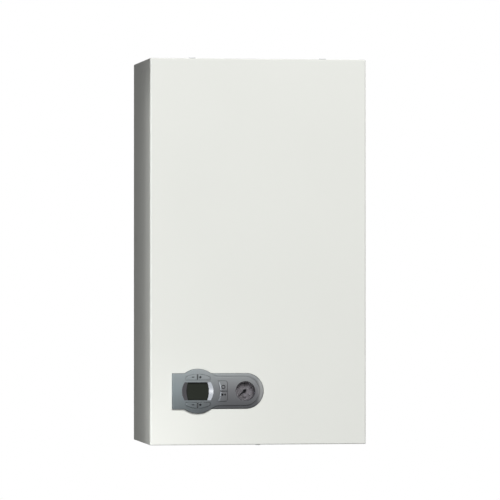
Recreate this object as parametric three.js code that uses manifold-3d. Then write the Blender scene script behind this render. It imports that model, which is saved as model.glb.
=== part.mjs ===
// Wall-hung combi boiler: a room-sealed, fan-flued heater that warms radiators and tap water.
// Millimetres, +Z up, +Y into the wall. The origin is the middle of the wall rail's back face.
// Inside the functions, heights are measured from the casing's lower edge; the last group lowers
// everything by the rail's height, which puts the origin on the rail.

import * as THREE from "three";
import { mergeVertices } from "three/addons/utils/BufferGeometryUtils.js";
import { ConvexGeometry } from "three/addons/geometries/ConvexGeometry.js";
import Module from "manifold-3d";

const wasm = await Module();
wasm.setup();

// ---------------------------------------------------------------- driving dimensions

// Gaps
const seatGap = 0.3; // between two pieces that rest on each other
const slideGap = 1.5; // between the casing's sides and the chassis
const wallGap = 1; // between the casing's rear edge and the wall
const past = 1; // how far a cutting solid runs past the faces that it cuts
const weld = 0.5; // how far two joined solids run into each other

// Casing
const casingWidth = 397;
const casingHeight = 700;
const casingFront = 230; // wall to front face
const casingSheet = 1;
const casingCorner = 4; // outside radius of the upright front edges
const casingFrontLip = 16;
const casingSideLip = 8;
const tabWidth = 12; // hooks on the top panel that carry the casing
const tabLength = 6;
const tabSpacing = 240;
const tabInset = 10; // front face to the tabs
const tabRise = 1.5; // above the casing's top edge

// Wall rail and frame
const railBelowTop = 60; // casing's top edge down to the middle of the rail
const railLength = 300;
const railSheet = 2;
const railDrop = 25; // the rail's flat reaches this far below its middle
const railShelf = 8; // shelf height above the middle
const railReach = 9; // wall to the front of the rail's lip
const railLip = 12;
const railScrewRadius = 4;
const railScrewInset = 34.6; // rail's end to its outer screws
const frameStandoff = 11.5; // wall to the back of the frame
const frameSheet = 1.5;
const frameReturn = 20;
const spacerRadius = 9;
const spacerInset = 65; // chassis side to the spacers
const spacerLift = 22; // frame's lower edge to the spacers
const undersideHeight = 38; // casing's lower edge to the bottom panel
const panelFrontGap = 3; // casing's front sheet to the front edges of both panels
const panelFlange = 8;
const panelRearGap = 5.5; // wall to the rear edges of both panels
const footWidth = 60;
const footGap = 1; // casing's front sheet to the foot
const footDepth = 15;
const footThickness = 3;
const screwRadius = 1.9;
const screwHeadRadius = 4.5;
const screwHeadHeight = 1.9;
const screwLength = 8;
const screwChamfer = 1;
const slotWidth = 1;
const slotLength = 6;
const slotDepth = 0.8;
const screwSlotClearance = 0.8; // screw to its open slot in the casing

// Sealed chamber
const vesselThickness = 52;
const vesselSideGap = 28; // chassis side to the vessel
const vesselLift = 202; // frame's lower edge to the vessel
const vesselTopGap = 55.1; // vessel to the frame's top edge
const vesselCorner = 60;
const vesselBulge = 20;
const vesselWall = 1.6;
const vesselGap = 6.7; // vessel's front to the chamber's back
const chamberDepth = 133;
const chamberSheet = 1.2;
const chamberSideGap = 12; // chassis side to chamber side
const chamberLift = 235; // casing's lower edge to the chamber's underside
const chamberTopGap = 11.2; // chamber's top to the top panel's underside
const chamberClearance = 1; // round the pipes that pass its floor
const coverSheet = 1.5;
const coverOverlap = 3;
const coverEmboss = 2.5;
const coverEmbossInset = 28;
const coverEmbossCorner = 12;
const coverCorner = 4;
const coverScrewInset = 14;
const coverScrewRadius = 2.2;

// Flue
const flueRadius = 30; // inside of the exhaust tube
const flueWall = 2;
const intakeRadius = 50; // outside of the air tube
const collarFlangeRadius = 63; // the flange that stands on the chamber
const collarLap = 7; // how far it laps the opening in the chamber's top
const collarFlange = 2.5;
const collarRise = 5; // above the casing's top edge
const flueInset = 90; // casing front to the flue's centre
const flueClearance = 0.5; // air tube to the top panel's hole

// Burner, exchanger, hood and fan, stacked in the chamber
const stackInset = 84; // wall to the rear of the firebox, exchanger and hood
const burnerFloorGap = 0.3;
const burnerSideGap = 4; // firebox side to burner side
const burnerDepth = 90;
const burnerForward = 38; // the burner's middle in front of the pipes' axes
const burnerCheek = 2;
const burnerRailHeight = 25.8; // chamber floor to the burner rail
const burnerRail = 6;
const burnerTop = 63.8; // chamber floor to the burner's top
const bladeCount = 13;
const bladeMargin = 9; // burner's side to its first blade
const bladeThickness = 6;
const manifoldHeight = 14;
const manifoldDepth = 16;
const manifoldCorner = 3;
const injectorRadius = 2.5;
const injectorLength = 4.7;
const fireboxSideGap = 66; // chamber side to firebox side
const fireboxDepth = 106;
const fireboxWall = 10;
const exchangerHeight = 55;
const finCount = 16;
const finMargin = 9.25; // firebox side to the first fin
const finThickness = 1.5;
const finInset = 3; // exchanger's edges to its fins
const exchangerSpine = 6;
const exchangerCheek = 2;
const exchangerTubeRadius = 7;
const exchangerTubeReach = 15; // exchanger's side to its return bends
const exchangerTubeBend = 10;
const exchangerTubes = [18, 42]; // exchanger's front to the two ends of a return bend
const headerReach = 34;
const headerSize = 20;
const pipeSideGap = 22; // firebox side to the water pipes' axes
const hoodSlope = 58;
const hoodWall = 1.6;
const neckWidth = 76;
const neckDepth = 31;
const neckHeight = 92;
const fanRadius = 58;
const fanWidth = 48;
const fanWall = 1.6;
const fanInletRadius = 28;
const fanOutlet = 44;
const fanOutletRise = 80; // fan axis to the outlet's top
const fanTopGap = 33.8; // fan outlet's top to the chamber's top
const wheelRadius = 48;
const wheelBladeCount = 14;
const wheelBlade = 11;
const wheelShaft = 3;
const wheelGap = 2.4; // wheel to the scroll's walls
const wheelPlate = 1.5;
const wheelHubRadius = 8;
const wheelHubLength = 14;
const wheelBladeThickness = 1.2;
const shaftReach = 14; // fan shaft's length in front of the scroll
const shaftClearance = 2; // shaft to its hole in a housing
const shaftEndGap = 2; // shaft's end to the end of its bore
const motorRadius = 27;
const motorLength = 34;
const motorShoulder = 6;
const motorFlange = 3;
const motorFlangeRadius = 36;
const switchRadius = 26;
const switchDepth = 26;
const switchSideGap = 74; // chamber side to the switch's axis
const switchRise = 34; // fan axis to the switch's
const switchSpigot = 8;
const switchRim = 4;
const switchBackRadius = 23;
const switchFrontRadius = 21;
const switchTaper = 2;
const sensingHoseRadius = 3;
const sensingHoseBend = 5.5;
const sensingPortDrop = 20; // fan outlet's top to the hose's port
const sensingLoopRise = 12;
const sensingLoopReach = 30;
const electrodeOffset = 60;
const electrodeRise = 12; // firebox's lower edge to the electrode
const electrodeRadius = 4;
const electrodeFlangeRadius = 7;
const electrodeFlange = 3;
const electrodeTail = 12;
const electrodeInsulator = 16;
const electrodeWire = 1;
const electrodeReach = 46;

// Water and gas parts under the chamber
const unionSideGap = 66; // chassis side to the outermost unions' axes
const unionInset = 85; // wall to the unions' axes
const unionRadius = 11;
const unionBore = 8;
const unionFlangeRadius = 15;
const unionNutRadius = 13;
const unionBottom = 5; // above the casing's lower edge
const unionTop = 60;
const unionFlange = 3;
const unionNutLift = 5;
const unionNutHeight = 16;
const pipeClearance = 0.6; // round what passes the bottom panel
const blockDepth = 60;
const blockHeight = 50;
const blockCorner = 7;
const blockReach = 30; // outermost unions' axes to the blocks' outer sides
const flowBlockReach = 20; // hot water union's axis to the flow block's inner side
const diverterShift = 20; // hot water union's axis to the diverter's
const diverterDepth = 38; // of its bore in the flow block
const diverterMotorRadius = 22;
const diverterMotorHeight = 50;
const diverterShoulder = 4;
const diverterNeck = 10;
const spindleRadius = 3;
const spindleDisc = 8.4;
const spindleTravel = 6;
const spindleClearance = 0.4;
const spindleDiscThickness = 3;
const spindleLower = 4; // spindle's lower end to its first disc
const spindleUpper = 22; // and to its second disc
const spindleRise = 8; // spindle's top above the flow block
const waterPipeRadius = 9;
const pipeInset = 100; // wall to the pipes' axes inside the chamber
const gasPipeRadius = 8;
const gasValveWidth = 64;
const gasValveHeight = 90;
const gasValveHead = 30;
const gasValveStep = 8; // body's sides to the head's
const gasValveForward = 3; // in front of the two blocks
const gasValveRearGap = 2;
const gasRegulatorRadius = 19;
const gasRegulatorLength = 10;
const gasRegulatorLift = 28;
const gasCoilRadius = 9;
const gasCoilHeight = 18;
const gasPipeRise = 26; // straight run before and height of the pipe's set-back
const exchangerPlateInset = 60; // flow block's outer side to the plate exchanger's left side
const exchangerPlateHeight = 72;
const exchangerPlateLift = 2;
const exchangerPlateDepth = 34;
const exchangerPlateGap = 12; // plate exchanger's right side to the vessel hose
const exchangerPlateCount = 9;
const exchangerGroove = 2;
const pumpShift = 12; // return pipe's axis to the pump's
const pumpRadius = 42;
const pumpWidth = 40;
const pumpLift = 46; // return block's top to the pump's axis
const pumpOutletRise = 48; // pump's axis to its outlet
const pumpFootWidth = 30;
const pumpFootDepth = 24;
const pumpWall = 6;
const pumpOutletWall = 3;
const pumpMotorRadius = 38;
const pumpMotorLength = 38;
const pumpMotorShoulder = 6;
const pumpMotorFlange = 8;
const terminalLeft = 24; // pump's axis to its terminal box's left side
const terminalWidth = 28;
const terminalRise = 10;
const impellerRadius = 31;
const impellerShaft = 4;
const impellerVanes = 6;
const impellerHub = 9;
const impellerPlate = 2.5;
const impellerGap = 2; // impeller to the pump's walls
const impellerClearance = 3; // impeller's rim to the pump's room
const impellerVaneGap = 4;
const impellerReach = 12; // shaft in front of the pump
const impellerVaneThickness = 2;
const sensorRadius = 14.5;
const sensorHeight = 52;
const sensorBore = 10;
const sensorCap = 5;
const sensorArm = 20;
const turbineRadius = 8.6;
const turbineLength = 18;
const turbineVanes = 6;
const turbineHub = 3;
const turbineVaneThickness = 1.2;
const turbineBar = 4; // bar that carries the turbine
const turbineBarWidth = 3;
const fillingWidth = 24;
const fillingLift = 10; // bottom panel to the valve's body
const fillingRise = 24;
const fillingStem = 7;
const fillingKnobRadius = 11;
const fillingKnobHeight = 25;
const fillingKnobBottom = 8;
const safetySideGap = 25; // chassis side to the safety valve's axis
const safetyRearGap = 1.3; // frame's returns to the valve
const safetyHeight = 88;
const safetyRadius = 10;
const safetyLength = 58;
const safetyKnobRadius = 13;
const safetyKnobLength = 22;
const safetyArm = 16; // height of its arm
const safetyDrainRadius = 6;
const safetyDrainBottom = 25;
const knobSpigot = 3.5;
const knobFlutes = 6;
const knobFluteDepth = 1.2;
const knobBevel = 0.8;
const safetySpigot = 10; // length of its knob's spigot
const fillingSpigot = 9; // and of the filling knob's
const hoseRadius = 5;
const hoseShift = 5; // heating return union's axis to the vessel hose's
const hoseBend = 12;
const portLength = 10; // vessel's port below it
const portRadius = 6;
const portBore = 3;
const glandSideGap = 31; // chassis side to the gland's axis
const glandInset = 40;
const glandRadius = 11;
const glandBore = 4;
const glandNeck = 7.7;
const glandNutHeight = 8;
const glandCollar = 5;
const glandChamfer = 2;

// Control box
const boxDepth = 60;
const boxHeight = 144;
const boxSideGap = 10; // chassis side to the box's side
const boxWall = 2.5;
const boxFrontGap = 2.7; // casing's sheet to the box's front
const boxFloorGap = 2.5;
const boxLid = 1.5;
const boxRimInset = 20;
const boxRimDepth = 4;
const boxRimThickness = 2;
const hingeInset = 4; // box's front and bottom faces to its hinge
const hingePin = 2.5;
const lugThickness = 3;
const lugGap = 1; // box's side to its hinge lugs
const lugReach = 5; // hinge's axis to the lugs' edges
const boardThickness = 1.6;
const boardWidth = 210;
const boardHeight = 120;
const boardInset = 8; // box's floor to the board's lower edge
const boardStandoff = 14.3; // box's front face to the board
const boardSideGap = 16; // box's side to the board's
const transformer = [12, 70, 42, 36, 32]; // left, bottom, width, height, depth on the board
const boardChip = [90, 44, 24, 18, 3];
const firstRelay = [70, 82, 19, 15, 15];
const relayCount = 3;
const relayPitch = 24;
const firstTerminal = [14, 4, 24, 10, 12];
const terminalCount = 6;
const terminalPitch = 31;
const capacitors = [
  [74, 52, 8, 24], // left, bottom, radius, depth on the board
  [150, 92, 6, 18],
  [166, 92, 6, 18],
];
const boardPostRadius = 3.5;
const boardPostInset = 5;
const boxOpening = 5; // how much smaller the tray's opening is than the fascia

// Control fascia, measured from the centre of its disc
const discInset = 87; // casing's left side to the disc's centre
const discHeight = 97.5; // casing's lower edge to the disc's centre
const discRadius = 40;
const fasciaHalfHeight = 32;
const fasciaLeft = -46.5;
const fasciaEnd = 88.4; // centre of the round right-hand end
const fasciaClearance = 0.6; // casing's cut-out round the fascia
const rimProud = 1.8; // fascia's rim in front of the casing
const plateauProud = 4.2;
const tongueHalfHeight = 26;
const tongueEnd = 86.3;
const tongueFillet = 25;
const fasciaBevel = 1;
const windowRadius = 28.5;
const windowHalfHeight = 16.2;
const windowDepth = 4.4;
const windowMouth = 0.2; // the slopes' outline lies this far in front of the plateau
const displayDepth = 0.2;
const displayHalfWidth = 20.6;
const displayArc = 45;
const keyProud = 0.9;
const keyTravel = 1.2;
const keyClearance = 0.25;
const keyTab = 1.7;
const keyTabReach = 1.2;
const keyTabInset = 2;
const keyBevel = 0.35;
const arcKeyStemRise = 3;
const keyStem = 1.8;
const arcKeyInner = 2;
const arcKeyOuter = 21.9;
const arcKeyBase = 20.5;
const arcKeyRadius = 49;
const arcKeyTop = 30.7;
const sideKeyInner = 41; // radius of the side keys' hollow left edge
const sideKeyRight = 53.6;
const sideKeyGap = 0.6;
const sideKeyTop = 18.4;
const sideKeyCorner = 4.5;
const gaugeOffset = 86.8;
const gaugeWindowRadius = 18;
const gaugeLedge = 1.2;
const gaugeGlassThickness = 1.2;
const gaugeGlassDepth = 4.5;
const gaugeCaseRadius = 19.5;
const dialDepth = 11.7; // plateau's face to the dial
const needleLength = 13.5;
const needleHub = 2.6;
const needleHubHeight = 2;
const needleTail = 5;
const needleTailHalf = 0.9;
const needleHalf = 1.1;
const needleTipHalf = 0.3;
const needleLift = 0.6;
const needleThickness = 0.8;
const spindlePin = 1;
const dialThickness = 3;
const needleRest = 220.5; // degrees from +X, towards +Z, as seen from the front

// ---------------------------------------------------------------- derived planes and heights

const chassisHalf = casingWidth / 2 - casingSheet - slideGap;
const railHeight = casingHeight - railBelowTop;
const casingInner = -(casingFront - casingSheet);
const panelFront = casingInner + panelFrontGap;
const panelRear = -panelRearGap;
const panelTop = undersideHeight + frameSheet;
const topPanelTop = casingHeight - casingSheet - seatGap;
const topPanelUnder = topPanelTop - frameSheet;
const frameFace = -(frameStandoff + frameSheet);
const frameBottom = panelTop + seatGap;
const frameTop = topPanelUnder - seatGap;
const footFront = casingInner + footGap;
const footMiddle = footFront + footDepth / 2;
const footRear = footFront + footDepth;
const vesselHalf = chassisHalf - vesselSideGap;
const vesselBottom = frameBottom + vesselLift;
const vesselTop = frameTop - vesselTopGap;
const portBottom = vesselBottom - portLength;
const vesselBack = frameFace - seatGap;
const vesselFront = vesselBack - vesselThickness;
const vesselMiddle = (vesselFront + vesselBack) / 2;
const returnFace = vesselFront - vesselGap;
const chamberBack = returnFace - seatGap;
const chamberFront = chamberBack - chamberDepth;
const chamberHalf = chassisHalf - chamberSideGap;
const chamberTop = topPanelUnder - chamberTopGap;
const chamberBottom = chamberLift;
const chamberFloor = chamberBottom + chamberSheet;
const coverBack = chamberFront - seatGap;
const coverFront = coverBack - coverSheet;
const flueY = -(casingFront - flueInset);
const stackBack = -stackInset;
const stackFront = stackBack - fireboxDepth;
const fireboxWidth = 2 * (chamberHalf - fireboxSideGap);
const pipeOffset = fireboxWidth / 2 + pipeSideGap;
const burnerWidth = fireboxWidth - 2 * burnerSideGap;
const bladePitch = (burnerWidth - 2 * bladeMargin - bladeThickness) / (bladeCount - 1);
const finPitch = (fireboxWidth - 2 * finMargin - finThickness) / (finCount - 1);
const burnerFront = -(pipeInset + burnerForward + burnerDepth / 2);
const burnerRear = burnerFront + burnerDepth;
const burnerBottom = chamberFloor + burnerFloorGap;
const burnerRailUnder = chamberFloor + burnerRailHeight;
const manifoldTop = burnerRailUnder - seatGap - injectorLength;
const burnerFace = chamberFloor + burnerTop;
const fireboxBottom = burnerFace + seatGap;
const fanTop = chamberTop - fanTopGap;
const fanZ = fanTop - fanOutletRise;
const neckBottom = fanZ - fanRadius - seatGap;
const hoodBottom = neckBottom - hoodSlope;
const exchangerTop = hoodBottom - seatGap;
const exchangerBottom = exchangerTop - exchangerHeight;
const fireboxTop = exchangerBottom - seatGap;
const electrodeZ = fireboxBottom + electrodeRise;
const neckFront = stackBack - neckDepth;
const fanBack = neckFront - seatGap;
const fanFront = fanBack - fanWidth;
const fanX = fanOutlet / 2 - fanRadius;
const headerZ = exchangerBottom + exchangerHeight / 2;
const riserTop = headerZ - headerSize / 2 - seatGap;
const switchX = chamberHalf - switchSideGap;
const switchZ = fanZ + switchRise;
const switchBack = chamberBack - chamberSheet - seatGap;
const switchFront = switchBack - switchDepth;
const spigotFront = switchFront - switchSpigot;
const unionSpacing = (chassisHalf - unionSideGap) / 2;
const diverterX = -(unionSpacing + diverterShift);
const fillingX = 1.5 * unionSpacing; // halfway between two unions
const safetyX = chassisHalf - safetySideGap;
const hoseX = 2 * unionSpacing + hoseShift;
const glandX = -(chassisHalf - glandSideGap);
const unionY = -unionInset;
const pipeY = -pipeInset;
const blockBottom = unionTop + seatGap;
const blockTop = blockBottom + blockHeight;
const spindleTop = blockTop + seatGap + spindleRise;
const sensorTop = blockBottom + sensorHeight;
const safetyRear = returnFace - safetyRearGap;
const safetyFront = safetyRear - safetyLength;
const blockBack = unionY + blockDepth / 2;
const blockFront = unionY - blockDepth / 2;
const flowBlockLeft = -(2 * unionSpacing + blockReach);
const flowBlockRight = -(unionSpacing - flowBlockReach);
const returnBlockLeft = 2 * unionSpacing - blockReach;
const returnBlockRight = 2 * unionSpacing + blockReach;
const plateFront = blockBack + seatGap;
const pumpX = pipeOffset - pumpShift;
const pumpZ = blockTop + pumpLift;
const fillingKnobTop = fillingKnobBottom + fillingKnobHeight;
const pumpBack = pipeY + pumpWidth / 2;
const pumpFront = pipeY - pumpWidth / 2;
const pumpOutletTop = pumpZ + pumpOutletRise;
const boxHalf = chassisHalf - boxSideGap;
const boxFront = casingInner + boxFrontGap;
const boxBack = boxFront + boxDepth;
const boxBottom = panelTop + boxFloorGap;
const boxTop = boxBottom + boxHeight;
const hingeY = boxFront + hingeInset;
const hingeZ = boxBottom + hingeInset;
const boardFace = boxFront + boardStandoff;
const boardBack = boardFace + boardThickness;
const boardBottom = boxBottom + boardInset;
const boardTop = boardBottom + boardHeight;
const boardLeft = -boxHalf + boardSideGap;
const boardRight = boardLeft + boardWidth;
const discOffset = -casingWidth / 2 + discInset;
const fasciaBack = boxFront - seatGap;
const rimFace = -(casingFront + rimProud);
const plateauFace = -(casingFront + plateauProud);
const displayFace = plateauFace + windowDepth + displayDepth;
const dialFace = plateauFace + dialDepth;
const gaugeX = discOffset + gaugeOffset;

// ---------------------------------------------------------------- solids

const X = new THREE.Vector3(1, 0, 0);
const Y = new THREE.Vector3(0, 1, 0);
const Z = new THREE.Vector3(0, 0, 1);

// How an outline drawn on paper stands in space: across x it is drawn in (y, z), across y in
// (x, z) and across z in (x, y).
const extrusionBasis = {
  x: new THREE.Matrix4().makeBasis(Y, Z, X),
  y: new THREE.Matrix4().makeBasis(X, Z, Y.clone().negate()),
  z: new THREE.Matrix4(),
};

/** A closed solid from any closed geometry, with its faces pointing out. */
function toSolid(geometry) {
  const bare = geometry.clone();
  bare.deleteAttribute("normal");
  bare.deleteAttribute("uv");
  const merged = mergeVertices(bare, 1e-4);
  const place = merged.attributes.position;
  const corner = [new THREE.Vector3(), new THREE.Vector3(), new THREE.Vector3()];
  const faces = [];
  let volume = 0;
  for (let i = 0; i < merged.index.count; i += 3) {
    const face = [0, 1, 2].map((k) => merged.index.getX(i + k));
    if (new Set(face).size < 3) continue;
    face.forEach((vertex, k) => corner[k].fromBufferAttribute(place, vertex));
    volume += corner[0].dot(corner[1].clone().cross(corner[2]));
    faces.push(face);
  }
  const triVerts = new Uint32Array(faces.flatMap((face) => (volume > 0 ? face : face.reverse())));
  const vertProperties = new Float32Array(place.array);
  return new wasm.Manifold(new wasm.Mesh({ numProp: 3, vertProperties, triVerts }));
}

/** A drawable geometry from a solid. */
function toGeometry(solid) {
  const mesh = solid.getMesh();
  const geometry = new THREE.BufferGeometry();
  geometry.setAttribute("position", new THREE.BufferAttribute(mesh.vertProperties, 3));
  geometry.setIndex(new THREE.BufferAttribute(mesh.triVerts, 1));
  geometry.computeVertexNormals();
  return geometry;
}

const ordered = (a, b) => [Math.min(a, b), Math.max(a, b)];
const join = (first, ...others) => others.reduce((whole, piece) => whole.add(piece), first);
const cut = (solid, ...tools) => tools.reduce((rest, tool) => rest.subtract(tool), solid);

function box(x0, x1, y0, y1, z0, z1) {
  const geometry = new THREE.BoxGeometry(x1 - x0, y1 - y0, z1 - z0);
  geometry.translate((x0 + x1) / 2, (y0 + y1) / 2, (z0 + z1) / 2);
  return toSolid(geometry);
}

/** An outline drawn out along an axis, from low to high, with an optional bevel at both ends. */
function prism(axis, outline, low, high, { sides = 14, bevel = 0, bevelSteps = 1 } = {}) {
  const geometry = new THREE.ExtrudeGeometry(outline, {
    depth: high - low - 2 * bevel,
    curveSegments: sides / 2,
    bevelEnabled: bevel > 0,
    bevelThickness: bevel,
    bevelSize: bevel,
    bevelOffset: -bevel,
    bevelSegments: bevelSteps,
  });
  geometry.translate(0, 0, bevel);
  geometry.applyMatrix4(extrusionBasis[axis]);
  if (axis === "x") geometry.translate(low, 0, 0);
  if (axis === "y") geometry.translate(0, high, 0);
  if (axis === "z") geometry.translate(0, 0, low);
  return toSolid(geometry);
}

function circle(u, v, radius) {
  return new THREE.Shape().absarc(u, v, radius, 0, Math.PI * 2);
}

function roundedRectangle(u0, u1, v0, v1, radius) {
  const shape = new THREE.Shape();
  shape.absarc(u1 - radius, v1 - radius, radius, 0, Math.PI / 2);
  shape.absarc(u0 + radius, v1 - radius, radius, Math.PI / 2, Math.PI);
  shape.absarc(u0 + radius, v0 + radius, radius, Math.PI, 1.5 * Math.PI);
  shape.absarc(u1 - radius, v0 + radius, radius, 1.5 * Math.PI, 2 * Math.PI);
  return shape;
}

function polygon(points) {
  return new THREE.Shape(points.map(([u, v]) => new THREE.Vector2(u, v)));
}

function cylinder(axis, u, v, radius, low, high, sides = 14) {
  return prism(axis, circle(u, v, radius), low, high, { sides });
}

/** A profile of [radius, distance along the axis] pairs, turned about an axis through (u, v). */
function turned(axis, u, v, profile, sides = 20) {
  const points = profile.map(([radius, along]) => new THREE.Vector2(radius, along));
  const geometry = new THREE.LatheGeometry(points, sides);
  if (axis === "x") geometry.rotateZ(-Math.PI / 2).translate(0, u, v);
  if (axis === "y") geometry.translate(u, 0, v);
  if (axis === "z") geometry.rotateX(Math.PI / 2).translate(u, v, 0);
  return toSolid(geometry);
}

/** The hull of two flat outlines that face each other. */
function loft(points) {
  return toSolid(new ConvexGeometry(points));
}

function rectangleAt(x0, x1, y0, y1, z) {
  return [
    new THREE.Vector3(x0, y0, z),
    new THREE.Vector3(x1, y0, z),
    new THREE.Vector3(x1, y1, z),
    new THREE.Vector3(x0, y1, z),
  ];
}

/** A pipe that follows straight runs with round bends. */
function pipe(corners, radius, bend, { sides = 12, steps = 20 } = {}) {
  const points = corners.map(([x, y, z]) => new THREE.Vector3(x, y, z));
  const path = new THREE.CurvePath();
  let from = points[0];
  for (let i = 1; i < points.length - 1; i++) {
    const start = points[i].clone().sub(points[i].clone().sub(points[i - 1]).setLength(bend));
    const end = points[i].clone().add(points[i + 1].clone().sub(points[i]).setLength(bend));
    path.add(new THREE.LineCurve3(from, start));
    path.add(new THREE.QuadraticBezierCurve3(start, points[i], end));
    from = end;
  }
  path.add(new THREE.LineCurve3(from, points.at(-1)));
  const section = circle(0, 0, radius);
  return toSolid(
    new THREE.ExtrudeGeometry(section, { steps, curveSegments: sides / 2, extrudePath: path }),
  );
}

/** Copies of a piece turned evenly about an axis along `axis` through (u, v). */
function around(axis, u, v, count, makePiece) {
  const copies = [];
  for (let i = 0; i < count; i++) {
    const angle = (360 * i) / count;
    const turn = axis === "y" ? [0, angle, 0] : [0, 0, angle];
    const shift = axis === "y" ? [u, 0, v] : [u, v, 0];
    copies.push(makePiece().rotate(turn).translate(shift));
  }
  return join(...copies);
}

// ---------------------------------------------------------------- materials

const material = (color, roughness, metalness, extra = {}) =>
  new THREE.MeshStandardMaterial({ color, roughness, metalness, ...extra });

const whiteSheet = material(0xe9e9e4, 0.45, 0);
const steel = material(0xa9adb0, 0.45, 0.85);
const darkSteel = material(0x6f7376, 0.5, 0.8);
const aluminium = material(0xc2c4c6, 0.4, 0.9);
const brass = material(0xb8975a, 0.38, 0.9);
const copper = material(0xb87350, 0.35, 0.9);
const redPaint = material(0xa8322a, 0.5, 0);
const blackPlastic = material(0x26282a, 0.55, 0);
const greyPlastic = material(0x8d9194, 0.5, 0);
const silverPlastic = material(0x8b9092, 0.4, 0.35);
const whitePlastic = material(0xdfe0dc, 0.5, 0);
const bluePlastic = material(0x2f5f95, 0.5, 0);
const redPlastic = material(0xb02a26, 0.5, 0);
const fibreBoard = material(0xd9d4c5, 0.9, 0);
const ceramic = material(0xeeeae0, 0.3, 0);
const rubber = material(0x3a3a3a, 0.8, 0);
const greenBoard = material(0x2f6b45, 0.5, 0);
const displayGlass = material(0x303634, 0.2, 0);
const clearGlass = material(0xf2f6f8, 0.05, 0, { transparent: true, opacity: 0.3 });
const dialWhite = material(0x9b9198, 0.6, 0);

// ---------------------------------------------------------------- wall rail and frame

function wallRail() {
  const shelfTop = railHeight + railShelf;
  const profile = polygon([
    [0, railHeight - railDrop],
    [-railSheet, railHeight - railDrop],
    [-railSheet, shelfTop - railSheet],
    [-railReach, shelfTop - railSheet],
    [-railReach, shelfTop + railLip],
    [-railReach + railSheet, shelfTop + railLip],
    [-railReach + railSheet, shelfTop],
    [0, shelfTop],
  ]);
  const rail = prism("x", profile, -railLength / 2, railLength / 2);
  const screwX = railLength / 2 - railScrewInset;
  const screwHoles = [-1, 0, 1].map((side) =>
    cylinder("y", side * screwX, railHeight - railDrop / 2, railScrewRadius, -railReach, past, 16),
  );
  return cut(rail, ...screwHoles);
}

function backFrame() {
  const inner = chassisHalf - frameSheet;
  const lip = inner - frameReturn;
  const section = polygon([
    [-chassisHalf, -frameStandoff],
    [-chassisHalf, returnFace],
    [-lip, returnFace],
    [-lip, returnFace + frameSheet],
    [-inner, returnFace + frameSheet],
    [-inner, frameFace],
    [inner, frameFace],
    [inner, returnFace + frameSheet],
    [lip, returnFace + frameSheet],
    [lip, returnFace],
    [chassisHalf, returnFace],
    [chassisHalf, -frameStandoff],
  ]);
  const plate = prism("z", section, frameBottom, frameTop);
  const lipTop = railHeight + railShelf + railLip;
  const hookFront = -(railReach - railSheet) + seatGap;
  const hookTop = lipTop + seatGap + frameSheet;
  const hook = prism(
    "x",
    polygon([
      [frameFace, lipTop + seatGap],
      [frameFace, hookTop],
      [hookFront + frameSheet, hookTop],
      [hookFront + frameSheet, lipTop - railLip / 2],
      [hookFront, lipTop - railLip / 2],
      [hookFront, lipTop + seatGap],
    ]),
    -railLength / 2,
    railLength / 2,
  );
  const spacer = (side) => {
    const x = side * (chassisHalf - spacerInset);
    return cylinder("y", x, frameBottom + spacerLift, spacerRadius, frameFace + weld, 0, 16);
  };
  return join(plate, hook, spacer(-1), spacer(1));
}

function topPanel() {
  const plate = box(-chassisHalf, chassisHalf, panelFront, panelRear, topPanelUnder, topPanelTop);
  const flangeRear = returnFace - seatGap;
  const flange = (side) => {
    const [low, high] = ordered(side * (chassisHalf - frameSheet), side * chassisHalf);
    return box(low, high, panelFront, flangeRear, topPanelUnder - panelFlange, topPanelUnder + weld);
  };
  const tabFront = -casingFront + tabInset;
  const tabTop = casingHeight + tabRise;
  const tab = (side) => {
    const middle = (side * tabSpacing) / 2;
    const [low, high] = [middle - tabWidth / 2, middle + tabWidth / 2];
    return box(low, high, tabFront, tabFront + tabLength, topPanelTop - weld, tabTop);
  };
  const opening = cylinder(
    "z", 0, flueY, intakeRadius + flueClearance, topPanelUnder - past, topPanelTop + past, 24,
  );
  return cut(join(plate, flange(-1), flange(1), tab(-1), tab(1)), opening);
}

function bottomPanel() {
  const plate = box(-chassisHalf, chassisHalf, panelFront, panelRear, undersideHeight, panelTop);
  const skirtFloor = undersideHeight - panelFlange;
  const skirt = (side) => {
    const [low, high] = ordered(side * (chassisHalf - frameSheet), side * chassisHalf);
    return box(low, high, panelFront, panelRear, skirtFloor, panelTop - weld);
  };
  const footFloor = casingSheet + seatGap;
  const half = footWidth / 2;
  const leg = box(
    -half, half, footRear - frameSheet, footRear, footFloor, undersideHeight + weld,
  );
  const foot = box(-half, half, footFront, footRear, footFloor, footFloor + footThickness);
  const pieces = [plate, skirt(-1), skirt(1), leg, foot];
  const lugInner = boxHalf + lugGap;
  for (const side of [-1, 1]) {
    const [low, high] = ordered(side * lugInner, side * (lugInner + lugThickness));
    pieces.push(box(low, high, hingeY - lugReach, hingeY + lugReach, panelTop - weld, hingeZ + lugReach));
    const [from, to] = ordered(side * (boxHalf - boxWall - 1), side * (lugInner + weld));
    pieces.push(cylinder("x", hingeY, hingeZ, hingePin, from, to, 16));
  }
  const drill = (x, y, radius) =>
    cylinder("z", x, y, radius, undersideHeight - past, panelTop + past);
  const holes = [-2, -1, 0, 1, 2].map((place) =>
    drill(place * unionSpacing, unionY, unionRadius + pipeClearance),
  );
  holes.push(drill(fillingX, unionY, fillingStem + pipeClearance));
  holes.push(drill(safetyX, unionY, safetyDrainRadius + pipeClearance));
  holes.push(drill(glandX, -glandInset, glandNeck + seatGap));
  const screwHole = screwRadius + seatGap;
  holes.push(
    cylinder("z", 0, footMiddle, screwHole, footFloor - past, footFloor + footThickness + past, 16),
  );
  return cut(join(...pieces), ...holes);
}

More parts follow.
